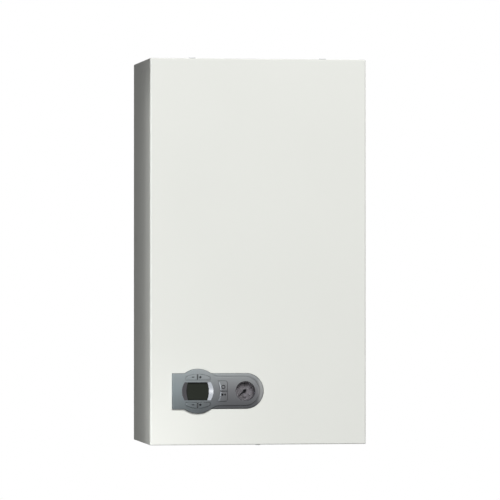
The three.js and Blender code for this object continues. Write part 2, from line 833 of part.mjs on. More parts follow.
function casingScrew() {
  const headBottom = -seatGap - screwHeadHeight;
  const head = turned("z", 0, footMiddle, [
    [0, headBottom],
    [screwHeadRadius - screwChamfer, headBottom],
    [screwHeadRadius, headBottom + screwChamfer],
    [screwHeadRadius, -seatGap],
    [screwRadius, -seatGap],
    [screwRadius, screwLength],
    [0, screwLength],
  ], 16);
  const slot = (x, across) =>
    box(-x, x, footMiddle - across, footMiddle + across, headBottom - past, headBottom + slotDepth);
  return cut(head, slot(slotWidth / 2, slotLength / 2), slot(slotLength / 2, slotWidth / 2));
}

// ---------------------------------------------------------------- casing

/** The casing's U-shaped section, seen from above, set in by `inset` from its outside. */
function casingSection(inset, rear) {
  const half = casingWidth / 2 - inset;
  const front = -casingFront + inset;
  const radius = casingCorner - inset;
  const shape = new THREE.Shape();
  shape.moveTo(half, rear);
  shape.lineTo(-half, rear);
  shape.lineTo(-half, front + radius);
  shape.absarc(-half + radius, front + radius, radius, Math.PI, 1.5 * Math.PI);
  shape.absarc(half - radius, front + radius, radius, 1.5 * Math.PI, 2 * Math.PI);
  return shape;
}

function casingShell() {
  const round = { sides: 12 };
  const [floor, roof] = [-past, casingHeight + past];
  const body = prism("z", casingSection(0, -wallGap), 0, casingHeight, round);
  const room = prism("z", casingSection(casingSheet, past), floor, roof, round);
  const lipSection = casingSection(casingSheet / 2, -wallGap);
  const lipHalf = casingWidth / 2 - casingSideLip;
  const lipRear = -casingFront + casingFrontLip + casingSheet;
  const lipRoom = box(-lipHalf, lipHalf, lipRear, past, floor, roof);
  const lip = (z) => cut(prism("z", lipSection, z, z + casingSheet, round), lipRoom);
  const shell = join(cut(body, room), lip(0), lip(casingHeight - casingSheet));
  const window = prism(
    "y", fasciaOutline(fasciaClearance), -casingFront - past, casingInner + past, { sides: 12 },
  );
  const slotRadius = screwRadius + screwSlotClearance;
  const lipTop = casingSheet + past;
  const slot = join(
    cylinder("z", 0, footMiddle, slotRadius, floor, lipTop, 16),
    box(-slotRadius, slotRadius, footMiddle, lipRear + past, floor, lipTop),
  );
  const notchFront = -casingFront + tabInset - fasciaClearance;
  const notchReach = tabWidth / 2 + fasciaClearance;
  const notch = (side) => {
    const middle = (side * tabSpacing) / 2;
    const [left, right] = [middle - notchReach, middle + notchReach];
    return box(left, right, notchFront, lipRear + past, casingHeight - casingSheet - past, roof);
  };
  return cut(shell, window, slot, notch(-1), notch(1));
}

// ---------------------------------------------------------------- sealed chamber

function sealedChamber() {
  const outer = box(-chamberHalf, chamberHalf, chamberFront, chamberBack, chamberBottom, chamberTop);
  const half = chamberHalf - chamberSheet;
  const top = chamberTop - chamberSheet;
  const rear = chamberBack - chamberSheet;
  const inner = box(-half, half, chamberFront - past, rear, chamberFloor, top);
  const pipeHole = (x, radius) =>
    cylinder("z", x, pipeY, radius + chamberClearance, chamberBottom - past, chamberFloor + past);
  const intake = cylinder(
    "z", 0, flueY, collarFlangeRadius - collarLap, top - past, chamberTop + past, 24,
  );
  return cut(
    outer,
    inner,
    pipeHole(-pipeOffset, waterPipeRadius),
    pipeHole(pipeOffset, waterPipeRadius),
    pipeHole(0, gasPipeRadius),
    intake,
  );
}

function chamberCover() {
  const half = chamberHalf + coverOverlap;
  const [bottom, top] = [chamberBottom - coverOverlap, chamberTop + coverOverlap];
  const outline = roundedRectangle(-half, half, bottom, top, coverCorner);
  const plate = prism("y", outline, coverFront, coverBack, { sides: 8 });
  const field = (inset) => {
    const reach = coverEmbossInset + inset;
    const corner = coverEmbossCorner - inset;
    return roundedRectangle(-half + reach, half - reach, bottom + reach, top - reach, corner);
  };
  const face = coverFront - coverEmboss;
  const emboss = prism("y", field(0), face, coverBack, { sides: 6, bevel: coverEmboss / 2 });
  const pocket = prism("y", field(coverSheet), face + coverSheet, coverBack + past, {
    sides: 6,
    bevel: coverEmboss / 4,
  });
  const screws = [];
  for (const z of [bottom + coverScrewInset, (bottom + top) / 2, top - coverScrewInset]) {
    for (const side of [-1, 1]) {
      const x = side * (half - coverScrewInset);
      screws.push(cylinder("y", x, z, coverScrewRadius, coverFront - past, coverBack + past, 8));
    }
  }
  return cut(join(plate, emboss), pocket, ...screws);
}

function flueCollar() {
  const top = casingHeight + collarRise;
  const flangeBottom = chamberTop + seatGap;
  const flangeTop = flangeBottom + collarFlange;
  const airInner = intakeRadius - flueWall;
  return turned("z", 0, flueY, [
    [airInner, flangeBottom],
    [collarFlangeRadius, flangeBottom],
    [collarFlangeRadius, flangeTop],
    [intakeRadius, flangeTop],
    [intakeRadius, top],
    [airInner, top],
    [airInner, flangeBottom],
  ], 24);
}

/** The inner tube, which stands on the fan's outlet in the middle of the collar. */
function exhaustTube() {
  const bottom = fanTop + seatGap;
  const top = casingHeight + collarRise;
  const outer = flueRadius + flueWall;
  return turned("z", 0, flueY, [
    [flueRadius, bottom],
    [outer, bottom],
    [outer, top],
    [flueRadius, top],
    [flueRadius, bottom],
  ], 24);
}

/** A burner or fin comb, seen from the front: upright plates on one rail. */
function combOutline(count, pitch, thickness, railLow, railHigh, toothLow, toothHigh, half) {
  const points = [];
  const edges = [];
  for (let i = 0; i < count; i++) {
    const middle = (i - (count - 1) / 2) * pitch;
    edges.push([middle - thickness / 2, middle + thickness / 2]);
  }
  points.push([-half, railHigh]);
  for (const [left, right] of edges) {
    points.push([left, railHigh], [left, toothHigh], [right, toothHigh], [right, railHigh]);
  }
  points.push([half, railHigh], [half, railLow]);
  if (toothLow < railLow) {
    for (const [left, right] of edges.toReversed()) {
      points.push([right, railLow], [right, toothLow], [left, toothLow], [left, railLow]);
    }
  }
  points.push([-half, railLow]);
  return polygon(points);
}

function burner() {
  const half = burnerWidth / 2;
  const railHigh = burnerRailUnder + burnerRail;
  const comb = combOutline(
    bladeCount, bladePitch, bladeThickness,
    burnerRailUnder, railHigh, burnerRailUnder, burnerFace, half,
  );
  const blades = prism("y", comb, burnerFront, burnerRear);
  const cheek = (side) => {
    const [low, high] = ordered(side * (half - burnerCheek), side * half);
    return box(low, high, burnerFront, burnerRear, burnerBottom, burnerFace);
  };
  return join(blades, cheek(-1), cheek(1));
}

/** The bar that feeds the burner's blades, with its injectors and the pipe brazed into it. */
function gasManifold() {
  const half = burnerWidth / 2 - burnerCheek - seatGap;
  const [front, rear] = [pipeY - manifoldDepth / 2, pipeY + manifoldDepth / 2];
  const manifoldBottom = manifoldTop - manifoldHeight;
  const section = roundedRectangle(front, rear, manifoldBottom, manifoldTop, manifoldCorner);
  const bar = prism("x", section, -half, half, { sides: 8 });
  const injectorTop = manifoldTop + injectorLength;
  const injectors = [];
  for (let i = 0; i < bladeCount; i++) {
    const middle = (i - (bladeCount - 1) / 2) * bladePitch;
    injectors.push(cylinder("z", middle, pipeY, injectorRadius, manifoldTop - past, injectorTop, 6));
  }
  const pipeBottom = blockBottom + gasValveHeight + seatGap;
  const feed = pipe([
    [0, unionY, pipeBottom],
    [0, unionY, pipeBottom + gasPipeRise],
    [0, pipeY, pipeBottom + 2 * gasPipeRise],
    [0, pipeY, manifoldBottom + past],
  ], gasPipeRadius, gasPipeRadius, { sides: 10, steps: 12 });
  return join(bar, feed, ...injectors);
}

function combustionChamber() {
  const half = fireboxWidth / 2;
  const outer = box(-half, half, stackFront, stackBack, fireboxBottom, fireboxTop);
  const room = box(
    -half + fireboxWall, half - fireboxWall, stackFront + fireboxWall, stackBack - fireboxWall,
    fireboxBottom - past, fireboxTop + past,
  );
  const electrodeHole = cylinder(
    "y", electrodeOffset, electrodeZ, electrodeRadius + seatGap,
    stackFront - past, stackFront + fireboxWall + past, 16,
  );
  return cut(outer, room, electrodeHole);
}

function mainHeatExchanger() {
  const half = fireboxWidth / 2;
  const railLow = headerZ - exchangerSpine / 2;
  const comb = combOutline(
    finCount, finPitch, finThickness, railLow, railLow + exchangerSpine,
    exchangerBottom + finInset, exchangerTop - finInset, half,
  );
  const fins = prism("y", comb, stackFront + finInset, stackBack - finInset);
  const cheek = (side) => {
    const [low, high] = ordered(side * (half - exchangerCheek), side * half);
    return box(low, high, stackFront, stackBack, exchangerBottom, exchangerTop);
  };
  const header = (side) => {
    const [low, high] = ordered(side * (half - exchangerCheek / 2), side * (half + headerReach));
    const [front, rear] = [pipeY - headerSize / 2, pipeY + headerSize / 2];
    return box(low, high, front, rear, headerZ - headerSize / 2, headerZ + headerSize / 2);
  };
  const bend = (side) => {
    const start = side * (half - exchangerCheek / 2);
    const turn = side * (half + exchangerTubeReach);
    const [near, far] = exchangerTubes.map((inset) => stackFront + inset);
    const path = [
      [start, near, headerZ],
      [turn, near, headerZ],
      [turn, far, headerZ],
      [start, far, headerZ],
    ];
    return pipe(path, exchangerTubeRadius, exchangerTubeBend, { sides: 8, steps: 8 });
  };
  return join(fins, cheek(-1), cheek(1), header(-1), header(1), bend(-1), bend(1));
}

function flueHood() {
  const half = fireboxWidth / 2;
  const [neckLeft, neckRight] = [fanX - neckWidth / 2, fanX + neckWidth / 2];
  const neckTop = neckBottom + neckHeight;
  const slope = (inset, low, high) =>
    loft([
      ...rectangleAt(-half + inset, half - inset, stackFront + inset, stackBack - inset, low),
      ...rectangleAt(neckLeft + inset, neckRight - inset, neckFront + inset, stackBack - inset, high),
    ]);
  const outside = join(
    slope(0, hoodBottom, neckBottom + weld),
    box(neckLeft, neckRight, neckFront, stackBack, neckBottom, neckTop),
  );
  const w = hoodWall;
  const inside = join(
    slope(w, hoodBottom - weld, neckBottom + past),
    box(neckLeft + w, neckRight - w, neckFront + w, stackBack - w, neckBottom - past, neckTop - w),
  );
  const inlet = cylinder("y", fanX, fanZ, fanInletRadius, neckFront - past, neckFront + w + past, 20);
  return cut(outside, inside, inlet);
}

function fanScroll() {
  const w = fanWall;
  const right = fanX + fanRadius;
  const left = right - fanOutlet;
  const outside = join(
    cylinder("y", fanX, fanZ, fanRadius, fanFront, fanBack, 24),
    box(left, right, fanFront, fanBack, fanZ, fanTop),
  );
  const inside = join(
    cylinder("y", fanX, fanZ, fanRadius - w, fanFront + w, fanBack - w, 24),
    box(left + w, right - w, fanFront + w, fanBack - w, fanZ, fanTop + past),
  );
  const inlet = cylinder("y", fanX, fanZ, fanInletRadius, fanBack - w - past, fanBack + past, 20);
  const shaftHole = cylinder(
    "y", fanX, fanZ, wheelShaft + shaftClearance, fanFront - past, fanFront + w + past, 16,
  );
  return cut(outside, inside, inlet, shaftHole);
}

function fanWheel() {
  const front = fanFront + fanWall + wheelGap;
  const rear = fanBack - fanWall - wheelGap;
  const bladeInner = wheelRadius - wheelBlade;
  const half = wheelBladeThickness / 2;
  const plate = cylinder("y", fanX, fanZ, wheelRadius, front, front + wheelPlate, 20);
  const hub = cylinder("y", fanX, fanZ, wheelHubRadius, front, front + wheelHubLength, 16);
  const ringShape = circle(fanX, fanZ, wheelRadius);
  ringShape.holes.push(circle(fanX, fanZ, bladeInner));
  const ring = prism("y", ringShape, rear - wheelPlate, rear, { sides: 20 });
  const blades = around("y", fanX, fanZ, wheelBladeCount, () =>
    box(bladeInner, wheelRadius - weld, front + weld, rear - weld, -half, half),
  );
  const shaft = cylinder("y", fanX, fanZ, wheelShaft, fanFront - shaftReach, front + weld, 16);
  return join(plate, hub, ring, blades, shaft);
}

function fanMotor() {
  const rear = fanFront - seatGap;
  const front = rear - motorLength;
  const bore = wheelShaft + seatGap;
  const boreEnd = fanFront - shaftReach - shaftEndGap;
  return turned("y", fanX, fanZ, [
    [0, front],
    [motorRadius - motorShoulder, front],
    [motorRadius, front + motorShoulder],
    [motorRadius, rear - motorFlange],
    [motorFlangeRadius, rear - motorFlange],
    [motorFlangeRadius, rear],
    [bore, rear],
    [bore, boreEnd],
    [0, boreEnd],
  ], 20);
}

function airPressureSwitch() {
  const middle = switchBack - switchDepth / 2;
  return turned("y", switchX, switchZ, [
    [0, switchBack],
    [switchBackRadius, switchBack],
    [switchBackRadius, middle + switchRim / 2],
    [switchRadius, middle + switchRim / 2],
    [switchRadius, middle - switchRim / 2],
    [switchFrontRadius, middle - switchRim / 2],
    [switchFrontRadius - switchTaper, switchFront],
    [sensingHoseRadius, switchFront],
    [sensingHoseRadius, spigotFront],
    [0, spigotFront],
  ], 18);
}

function pressureHose() {
  const ductSide = fanX + fanRadius + seatGap;
  const portZ = fanTop - sensingPortDrop;
  const loopZ = portZ + sensingLoopRise;
  const loopX = ductSide + sensingLoopReach;
  return pipe([
    [switchX, spigotFront - seatGap, switchZ],
    [switchX, flueY, switchZ],
    [switchX, flueY, loopZ],
    [loopX, flueY, loopZ],
    [loopX, flueY, portZ],
    [ductSide, flueY, portZ],
  ], sensingHoseRadius, sensingHoseBend, { sides: 6, steps: 26 });
}

function ignitionElectrode() {
  const outer = stackFront - seatGap;
  const tail = outer - electrodeTail;
  const wireStart = outer + electrodeInsulator;
  return turned("y", electrodeOffset, electrodeZ, [
    [0, tail],
    [electrodeRadius - 1, tail],
    [electrodeRadius, tail + 2],
    [electrodeRadius, outer - electrodeFlange],
    [electrodeFlangeRadius, outer - electrodeFlange],
    [electrodeFlangeRadius, outer],
    [electrodeRadius, outer],
    [electrodeRadius, wireStart],
    [electrodeWire, wireStart + 2],
    [electrodeWire, outer + electrodeReach],
    [0, outer + electrodeReach],
  ], 14);
}

function expansionVessel() {
  const shell = (inset) => {
    const outline = roundedRectangle(
      -vesselHalf + inset, vesselHalf - inset, vesselBottom + inset, vesselTop - inset,
      vesselCorner - inset,
    );
    return prism("y", outline, vesselFront + inset, vesselBack - inset, {
      sides: 8,
      bevel: vesselBulge - inset,
    });
  };
  const portTop = vesselBottom + vesselBulge + past;
  const port = cylinder("z", hoseX, vesselMiddle, portRadius, portBottom, portTop, 16);
  const bore = cylinder("z", hoseX, vesselMiddle, portBore, portBottom - past, portTop + past, 12);
  return cut(join(shell(0), port), shell(vesselWall), bore);
}

function vesselHose() {
  const low = blockBottom + blockHeight / 2;
  return pipe([
    [hoseX, vesselMiddle, portBottom - seatGap],
    [hoseX, vesselMiddle, low],
    [hoseX, blockBack + seatGap, low],
  ], hoseRadius, hoseBend, { sides: 8, steps: 14 });
}

// ---------------------------------------------------------------- gas and water parts

function pipeUnion(place) {
  const x = place * unionSpacing;
  const flangeBottom = panelTop + seatGap;
  const flangeTop = flangeBottom + unionFlange;
  const body = turned("z", x, unionY, [
    [unionBore, unionBottom],
    [unionRadius, unionBottom],
    [unionRadius, flangeBottom],
    [unionFlangeRadius, flangeBottom],
    [unionFlangeRadius, flangeTop],
    [unionRadius, flangeTop],
    [unionRadius, unionTop],
    [unionBore, unionTop],
    [unionBore, unionBottom],
  ], 12);
  const hexagon = circle(x, unionY, unionNutRadius);
  hexagon.holes.push(circle(x, unionY, unionRadius - weld));
  const nutBottom = unionBottom + unionNutLift;
  const nut = prism("z", hexagon, nutBottom, nutBottom + unionNutHeight, { sides: 6 });
  return join(body, nut);
}

function flowBlock() {
  const outline = roundedRectangle(
    flowBlockLeft, flowBlockRight, blockFront, blockBack, blockCorner,
  );
  const body = prism("z", outline, blockBottom, blockTop, { sides: 8 });
  const boreFloor = blockTop - diverterDepth;
  const bore = cylinder(
    "z", diverterX, unionY, spindleDisc + spindleClearance, boreFloor, blockTop + past,
  );
  return cut(body, bore);
}

function diverterMotor() {
  const bottom = blockTop + seatGap;
  const top = bottom + diverterMotorHeight;
  const bore = spindleRadius + spindleClearance;
  const boreTop = spindleTop + spindleTravel + shaftEndGap;
  const neck = diverterMotorRadius - diverterShoulder;
  return turned("z", diverterX, unionY, [
    [bore, bottom],
    [neck, bottom],
    [neck, bottom + diverterNeck],
    [diverterMotorRadius, bottom + diverterNeck + 2],
    [diverterMotorRadius, top - diverterShoulder],
    [neck, top],
    [0, top],
    [0, boreTop],
    [bore, boreTop],
    [bore, bottom],
  ], 14);
}

function diverterSpindle() {
  const floor = blockTop - diverterDepth + seatGap;
  const lower = floor + spindleLower;
  const upper = floor + spindleUpper;
  return turned("z", diverterX, unionY, [
    [0, floor],
    [spindleRadius, floor],
    [spindleRadius, lower],
    [spindleDisc, lower],
    [spindleDisc, lower + spindleDiscThickness],
    [spindleRadius, lower + spindleDiscThickness],
    [spindleRadius, upper],
    [spindleDisc, upper],
    [spindleDisc, upper + spindleDiscThickness],
    [spindleRadius, upper + spindleDiscThickness],
    [spindleRadius, spindleTop],
    [0, spindleTop],
  ], 10);
}

function plateHeatExchanger() {
  const left = flowBlockLeft + exchangerPlateInset;
  const right = hoseX - hoseRadius - exchangerPlateGap;
  const bottom = blockBottom + exchangerPlateLift;
  const top = bottom + exchangerPlateHeight;
  const groove = top - exchangerGroove;
  const rear = plateFront + exchangerPlateDepth;
  const pitch = exchangerPlateDepth / exchangerPlateCount;
  const outline = [];
  for (let i = 0; i < exchangerPlateCount; i++) {
    const y = plateFront + i * pitch;
    outline.push([y, top], [y + pitch * 0.6, top], [y + pitch * 0.7, groove], [y + pitch * 0.9, groove]);
  }
  outline.push([rear, top], [rear, bottom], [plateFront, bottom]);
  return prism("x", polygon(outline), left, right);
}

function gasValve() {
  const half = gasValveWidth / 2;
  const front = blockFront - gasValveForward;
  const rear = blockBack - gasValveRearGap;
  const bodyFront = front + gasRegulatorLength - 2;
  const top = blockBottom + gasValveHeight;
  const bodyTop = top - gasValveHead;
  const headHalf = half - gasValveStep;
  const headFront = bodyFront + gasValveStep / 2;
  const headRear = rear - gasValveStep / 2;
  const coilTop = bodyTop + gasCoilHeight;
  const regulatorZ = blockBottom + gasRegulatorLift;
  const body = box(-half, half, bodyFront, rear, blockBottom, bodyTop);
  const head = box(-headHalf, headHalf, headFront, headRear, bodyTop - past, top);
  const regulator = cylinder(
    "y", 0, regulatorZ, gasRegulatorRadius, front, front + gasRegulatorLength, 24,
  );
  const coil = cylinder(
    "z", gasCoilRadius + 1 - half, unionY - gasValveStep, gasCoilRadius, bodyTop - past, coilTop, 16,
  );
  return join(body, head, regulator, coil);
}

function flowPipe() {
  return cylinder("z", -pipeOffset, pipeY, waterPipeRadius, blockTop + seatGap, riserTop, 16);
}

function returnPipe() {
  return cylinder("z", pipeOffset, pipeY, waterPipeRadius, pumpOutletTop + seatGap, riserTop, 16);
}

function returnBlock() {
  const outline = roundedRectangle(
    returnBlockLeft, returnBlockRight, blockFront, blockBack, blockCorner,
  );
  return prism("z", outline, blockBottom, blockTop, { sides: 8 });
}

function pumpVolute() {
  const [front, rear] = [pipeY - pumpFootDepth / 2, pipeY + pumpFootDepth / 2];
  const footHalf = pumpFootWidth / 2;
  const foot = box(pumpX - footHalf, pumpX + footHalf, front, rear, blockTop + seatGap, pumpZ);
  const outletHalf = waterPipeRadius + pumpOutletWall;
  const outlet = box(
    pipeOffset - outletHalf, pipeOffset + outletHalf, front, rear, pumpZ, pumpOutletTop,
  );
  const roomRadius = impellerRadius + impellerClearance;
  const shaftHole = impellerShaft + shaftClearance;
  const body = cylinder("y", pumpX, pumpZ, pumpRadius, pumpFront, pumpBack, 24);
  const room = cylinder("y", pumpX, pumpZ, roomRadius, pumpFront + pumpWall, pumpBack - pumpWall, 20);
  const hole = cylinder("y", pumpX, pumpZ, shaftHole, pumpFront - past, pumpFront + pumpWall + past);
  const waterway = cylinder(
    "z", pipeOffset, pipeY, waterPipeRadius - 1, pumpZ, pumpOutletTop + past, 16,
  );
  return cut(join(foot, outlet, body), room, hole, waterway);
}

function pumpMotor() {
  const rear = pumpFront - seatGap;
  const front = rear - pumpMotorLength;
  const bore = impellerShaft + seatGap;
  const boreEnd = pumpFront - impellerReach - shaftEndGap;
  const canRadius = pumpMotorRadius - 2;
  const can = turned("y", pumpX, pumpZ, [
    [0, front],
    [canRadius - pumpMotorShoulder, front],
    [canRadius, front + pumpMotorShoulder],
    [canRadius, rear - pumpMotorFlange],
    [pumpMotorRadius, rear - pumpMotorFlange],
    [pumpMotorRadius, rear],
    [bore, rear],
    [bore, boreEnd],
    [0, boreEnd],
  ], 20);
  const [left, right] = [pumpX - terminalLeft, pumpX - terminalLeft + terminalWidth];
  const terminalFloor = pumpZ + pumpMotorRadius / 2;
  const terminalTop = pumpZ + pumpMotorRadius + terminalRise;
  const terminalBox = box(
    left, right, front + pumpMotorShoulder + 2, rear - pumpMotorShoulder, terminalFloor, terminalTop,
  );
  return join(can, terminalBox);
}

function pumpImpeller() {
  const front = pumpFront + pumpWall + impellerGap;
  const rear = pumpBack - pumpWall - impellerGap;
  const half = impellerVaneThickness / 2;
  const vaneStart = impellerHub - impellerClearance;
  const disc = cylinder("y", pumpX, pumpZ, impellerRadius, front, front + impellerPlate, 24);
  const hub = cylinder("y", pumpX, pumpZ, impellerHub, front, rear, 16);
  const vanes = around("y", pumpX, pumpZ, impellerVanes, () =>
    box(vaneStart, impellerRadius - 1, front + weld, rear - impellerVaneGap, -half, half),
  );
  const shaft = cylinder("y", pumpX, pumpZ, impellerShaft, pumpFront - impellerReach, front + weld, 16);
  return join(disc, hub, vanes, shaft);
}

function flowSensor() {
  const x = unionSpacing;
  const armHalf = sensorArm / 2;
  const armFront = unionY + sensorRadius / 2;
  const barHalf = sensorBore + weld;
  const bore = cylinder("z", x, unionY, sensorBore, blockBottom - past, sensorTop - sensorCap, 20);
  const housing = cylinder("z", x, unionY, sensorRadius, blockBottom, sensorTop, 24);
  const arm = box(x - armHalf, x + armHalf, armFront, blockBack, sensorTop - sensorArm, sensorTop);
  const bar = box(
    x - barHalf, x + barHalf, unionY - turbineBarWidth / 2, unionY + turbineBarWidth / 2,
    blockBottom, blockBottom + turbineBar,
  );
  return join(cut(housing.add(arm), bore), bar);
}

function flowTurbine() {
  const bottom = blockBottom + turbineBar + seatGap;
  const top = bottom + turbineLength;
  const tip = turbineHub / 2;
  const half = turbineVaneThickness / 2;
  const hub = turned("z", unionSpacing, unionY, [
    [0, bottom],
    [tip, bottom],
    [turbineHub, bottom + turbineHub],
    [turbineHub, top - turbineHub],
    [tip, top],
    [0, top],
  ], 14);
  const vanes = around("z", unionSpacing, unionY, turbineVanes, () =>
    box(turbineHub - 1, turbineRadius, -half, half, bottom + turbineHub + 1, top - turbineHub - 1),
  );
  return join(hub, vanes);
}

function fillingValve() {
  const left = unionSpacing + sensorRadius + seatGap;
  const right = returnBlockLeft - seatGap;
  const [front, rear] = [unionY - fillingWidth / 2, unionY + fillingWidth / 2];
  const floor = panelTop + fillingLift;
  const spigotFloor = fillingKnobTop - fillingSpigot;
  const body = box(left, right, front, rear, floor, blockBottom + fillingRise);
  const foot = box(left, fillingX + fillingStem, front, rear, floor, blockBottom - seatGap);
  const stem = turned("z", fillingX, unionY, [
    [0, spigotFloor],
    [knobSpigot, spigotFloor],
    [knobSpigot, fillingKnobTop + seatGap],
    [fillingStem, fillingKnobTop + seatGap],
    [fillingStem, floor + weld],
    [0, floor + weld],
  ], 18);
  return join(body, foot, stem);
}

/** A fluted knob's outline. */
function flutedOutline(u, v, radius, flutes, depth) {
  const points = [];
  for (let i = 0; i < flutes * 4; i++) {
    const angle = (i / (flutes * 4)) * Math.PI * 2;
    const reach = i % 4 === 0 ? radius - depth : radius;
    points.push([u + reach * Math.cos(angle), v + reach * Math.sin(angle)]);
  }
  return polygon(points);
}

function fillingKnob() {
  const outline = flutedOutline(fillingX, unionY, fillingKnobRadius, knobFlutes, knobFluteDepth);
  const grip = prism("z", outline, fillingKnobBottom, fillingKnobTop, { bevel: knobBevel });
  const boreFloor = fillingKnobTop - fillingSpigot - seatGap;
  const bore = cylinder(
    "z", fillingX, unionY, knobSpigot + seatGap, boreFloor, fillingKnobTop + past, 18,
  );
  return cut(grip, bore);
}

function safetyValve() {
  const spigotEnd = safetyFront - safetySpigot;
  const body = turned("y", safetyX, safetyHeight, [
    [0, safetyRear],
    [safetyRadius, safetyRear],
    [safetyRadius, safetyFront],
    [knobSpigot, safetyFront],
    [knobSpigot, spigotEnd],
    [0, spigotEnd],
  ], 20);
  const arm = box(
    returnBlockRight + seatGap, safetyX, unionY - safetyRadius, unionY + safetyRadius,
    safetyHeight - safetyArm / 2, safetyHeight + safetyArm / 2,
  );
  const drain = cylinder(
    "z", safetyX, unionY, safetyDrainRadius, safetyDrainBottom, safetyHeight, 16,
  );
  return join(body, arm, drain);
}

function safetyKnob() {
  const rear = safetyFront - seatGap;
  const front = rear - safetyKnobLength;
  const outline = flutedOutline(safetyX, safetyHeight, safetyKnobRadius, knobFlutes, knobFluteDepth);
  const grip = prism("y", outline, front, rear, { bevel: knobBevel });
  const boreFloor = safetyFront - safetySpigot - seatGap;
  const bore = cylinder(
    "y", safetyX, safetyHeight, knobSpigot + seatGap, boreFloor, rear + past, 18,
  );
  return cut(grip, bore);
}

function cableGland() {
  const nutTop = undersideHeight - seatGap;
  const nutBottom = nutTop - glandNutHeight;
  const collarBottom = panelTop + seatGap;
  const collarTop = collarBottom + glandCollar;
  return turned("z", glandX, -glandInset, [
    [glandBore, nutBottom],
    [glandRadius - glandChamfer, nutBottom],
    [glandRadius, nutBottom + glandChamfer],
    [glandRadius, nutTop],
    [glandNeck, nutTop],
    [glandNeck, collarBottom],
    [glandRadius, collarBottom],
    [glandRadius, collarTop],
    [glandBore, collarTop],
    [glandBore, nutBottom],
  ], 12);
}

// ---------------------------------------------------------------- control box

function boxTray() {
  const w = boxWall;
  const outer = box(-boxHalf, boxHalf, boxFront, boxBack, boxBottom, boxTop);
  const inner = box(
    -boxHalf + w, boxHalf - w, boxFront + w, boxBack + past, boxBottom + w, boxTop - w,
  );
  const opening = prism("y", fasciaOutline(-boxOpening), boxFront - past, boxFront + w + past, {
    sides: 8,
  });
  const pinHole = cylinder(
    "x", hingeY, hingeZ, hingePin + seatGap, -boxHalf - past, boxHalf + past, 16,
  );
  const postEnd = boardFace - seatGap;
  const posts = [];
  for (const x of [boardLeft + boardPostInset, boardRight - boardPostInset]) {
    for (const z of [boardBottom + boardPostInset, boardTop - boardPostInset]) {
      posts.push(cylinder("y", x, z, boardPostRadius, boxFront + w - weld, postEnd, 12));
    }
  }
  return join(cut(outer, inner, opening, pinHole), ...posts);
}

function boxLidPlate() {
  const front = boxBack + seatGap;
  const plate = box(-boxHalf, boxHalf, front, front + boxLid, boxBottom, boxTop);
  const inset = boxWall + seatGap;
  const half = boxHalf - boxRimInset;
  const rim = (z) => box(-half, half, boxBack - boxRimDepth, front + weld, z, z + boxRimThickness);
  return join(plate, rim(boxBottom + inset), rim(boxTop - inset - boxRimThickness));
}

function circuitBoard() {
  const board = box(boardLeft, boardRight, boardFace, boardBack, boardBottom, boardTop);
  const part = ([x, z, width, height, depth]) => {
    const [left, bottom] = [boardLeft + x, boardBottom + z];
    const [front, rear] = [boardBack - weld, boardBack + depth];
    return box(left, left + width, front, rear, bottom, bottom + height);
  };
  const can = ([x, z, radius, depth]) =>
    cylinder("y", boardLeft + x, boardBottom + z, radius, boardBack - weld, boardBack + depth, 16);
  const parts = [part(transformer), part(boardChip), ...capacitors.map(can)];
  const [relayX, relayZ, ...relaySize] = firstRelay;
  for (let i = 0; i < relayCount; i++) parts.push(part([relayX + i * relayPitch, relayZ, ...relaySize]));
  const [plugX, plugZ, ...plugSize] = firstTerminal;
  for (let i = 0; i < terminalCount; i++) {
    parts.push(part([plugX + i * terminalPitch, plugZ, ...plugSize]));
  }
  return join(board, ...parts);
}

/** The fascia's outline, larger all round by `grow`. */
function fasciaOutline(grow) {
  const half = fasciaHalfHeight + grow;
  const radius = discRadius + grow;
  const rise = Math.asin(half / radius);
  const shape = new THREE.Shape();
  shape.moveTo(discOffset + fasciaLeft - grow, discHeight + half);
  shape.lineTo(discOffset + fasciaLeft - grow, discHeight - half);
  shape.absarc(discOffset, discHeight, radius, Math.PI + rise, 2 * Math.PI - rise);
  shape.absarc(discOffset + fasciaEnd, discHeight, half, -Math.PI / 2, Math.PI / 2);
  shape.absarc(discOffset, discHeight, radius, rise, Math.PI - rise);
  return shape;
}

/** The raised field: the left-hand end, the disc and a round-ended tongue, with fillets. */
function plateauOutline() {
  const half = fasciaHalfHeight;
  const rise = Math.asin(half / discRadius);
  const filletV = tongueHalfHeight + tongueFillet;
  const filletU = Math.sqrt((discRadius + tongueFillet) ** 2 - filletV ** 2);
  const lean = Math.atan2(filletV, filletU);
  const left = discOffset + fasciaLeft;
  const shape = new THREE.Shape();
  const [u, v] = [discOffset, discHeight];
  shape.moveTo(left, v + half);
  shape.lineTo(left, v - half);
  shape.absarc(u, v, discRadius, Math.PI + rise, 2 * Math.PI - lean);
  shape.absarc(u + filletU, v - filletV, tongueFillet, Math.PI - lean, Math.PI / 2, true);
  shape.absarc(u + tongueEnd, v, tongueHalfHeight, -Math.PI / 2, Math.PI / 2);
  shape.absarc(u + filletU, v + filletV, tongueFillet, -Math.PI / 2, Math.PI + lean, true);
  shape.absarc(u, v, discRadius, lean, Math.PI - rise);
  return shape;
}

/** The display window's outline at its mouth: a circle cut off above and below. */
function windowPoints() {
  const points = [];
  const reach = Math.asin(windowHalfHeight / windowRadius);
  const steps = 10;
  for (const side of [1, -1]) {
    for (let i = 0; i <= steps; i++) {
      const angle = -reach + (2 * reach * i) / steps;
      points.push([side * windowRadius * Math.cos(angle), side * windowRadius * Math.sin(angle)]);
    }
  }
  return points;
}

/** The display's own outline, smaller all round by `inset`, with gently bowed sides. */
function displayPoints(inset) {
  const half = windowHalfHeight - inset;
  const centre = displayHalfWidth - displayArc;
  const radius = displayArc - inset;
  const reach = Math.asin(half / radius);
  const points = [];
  const steps = 6;
  for (const side of [1, -1]) {
    for (let i = 0; i <= steps; i++) {
      const angle = -reach + (2 * reach * i) / steps;
      points.push([
        side * (centre + radius * Math.cos(angle)), side * radius * Math.sin(angle),
      ]);
    }
  }
  return points;
}

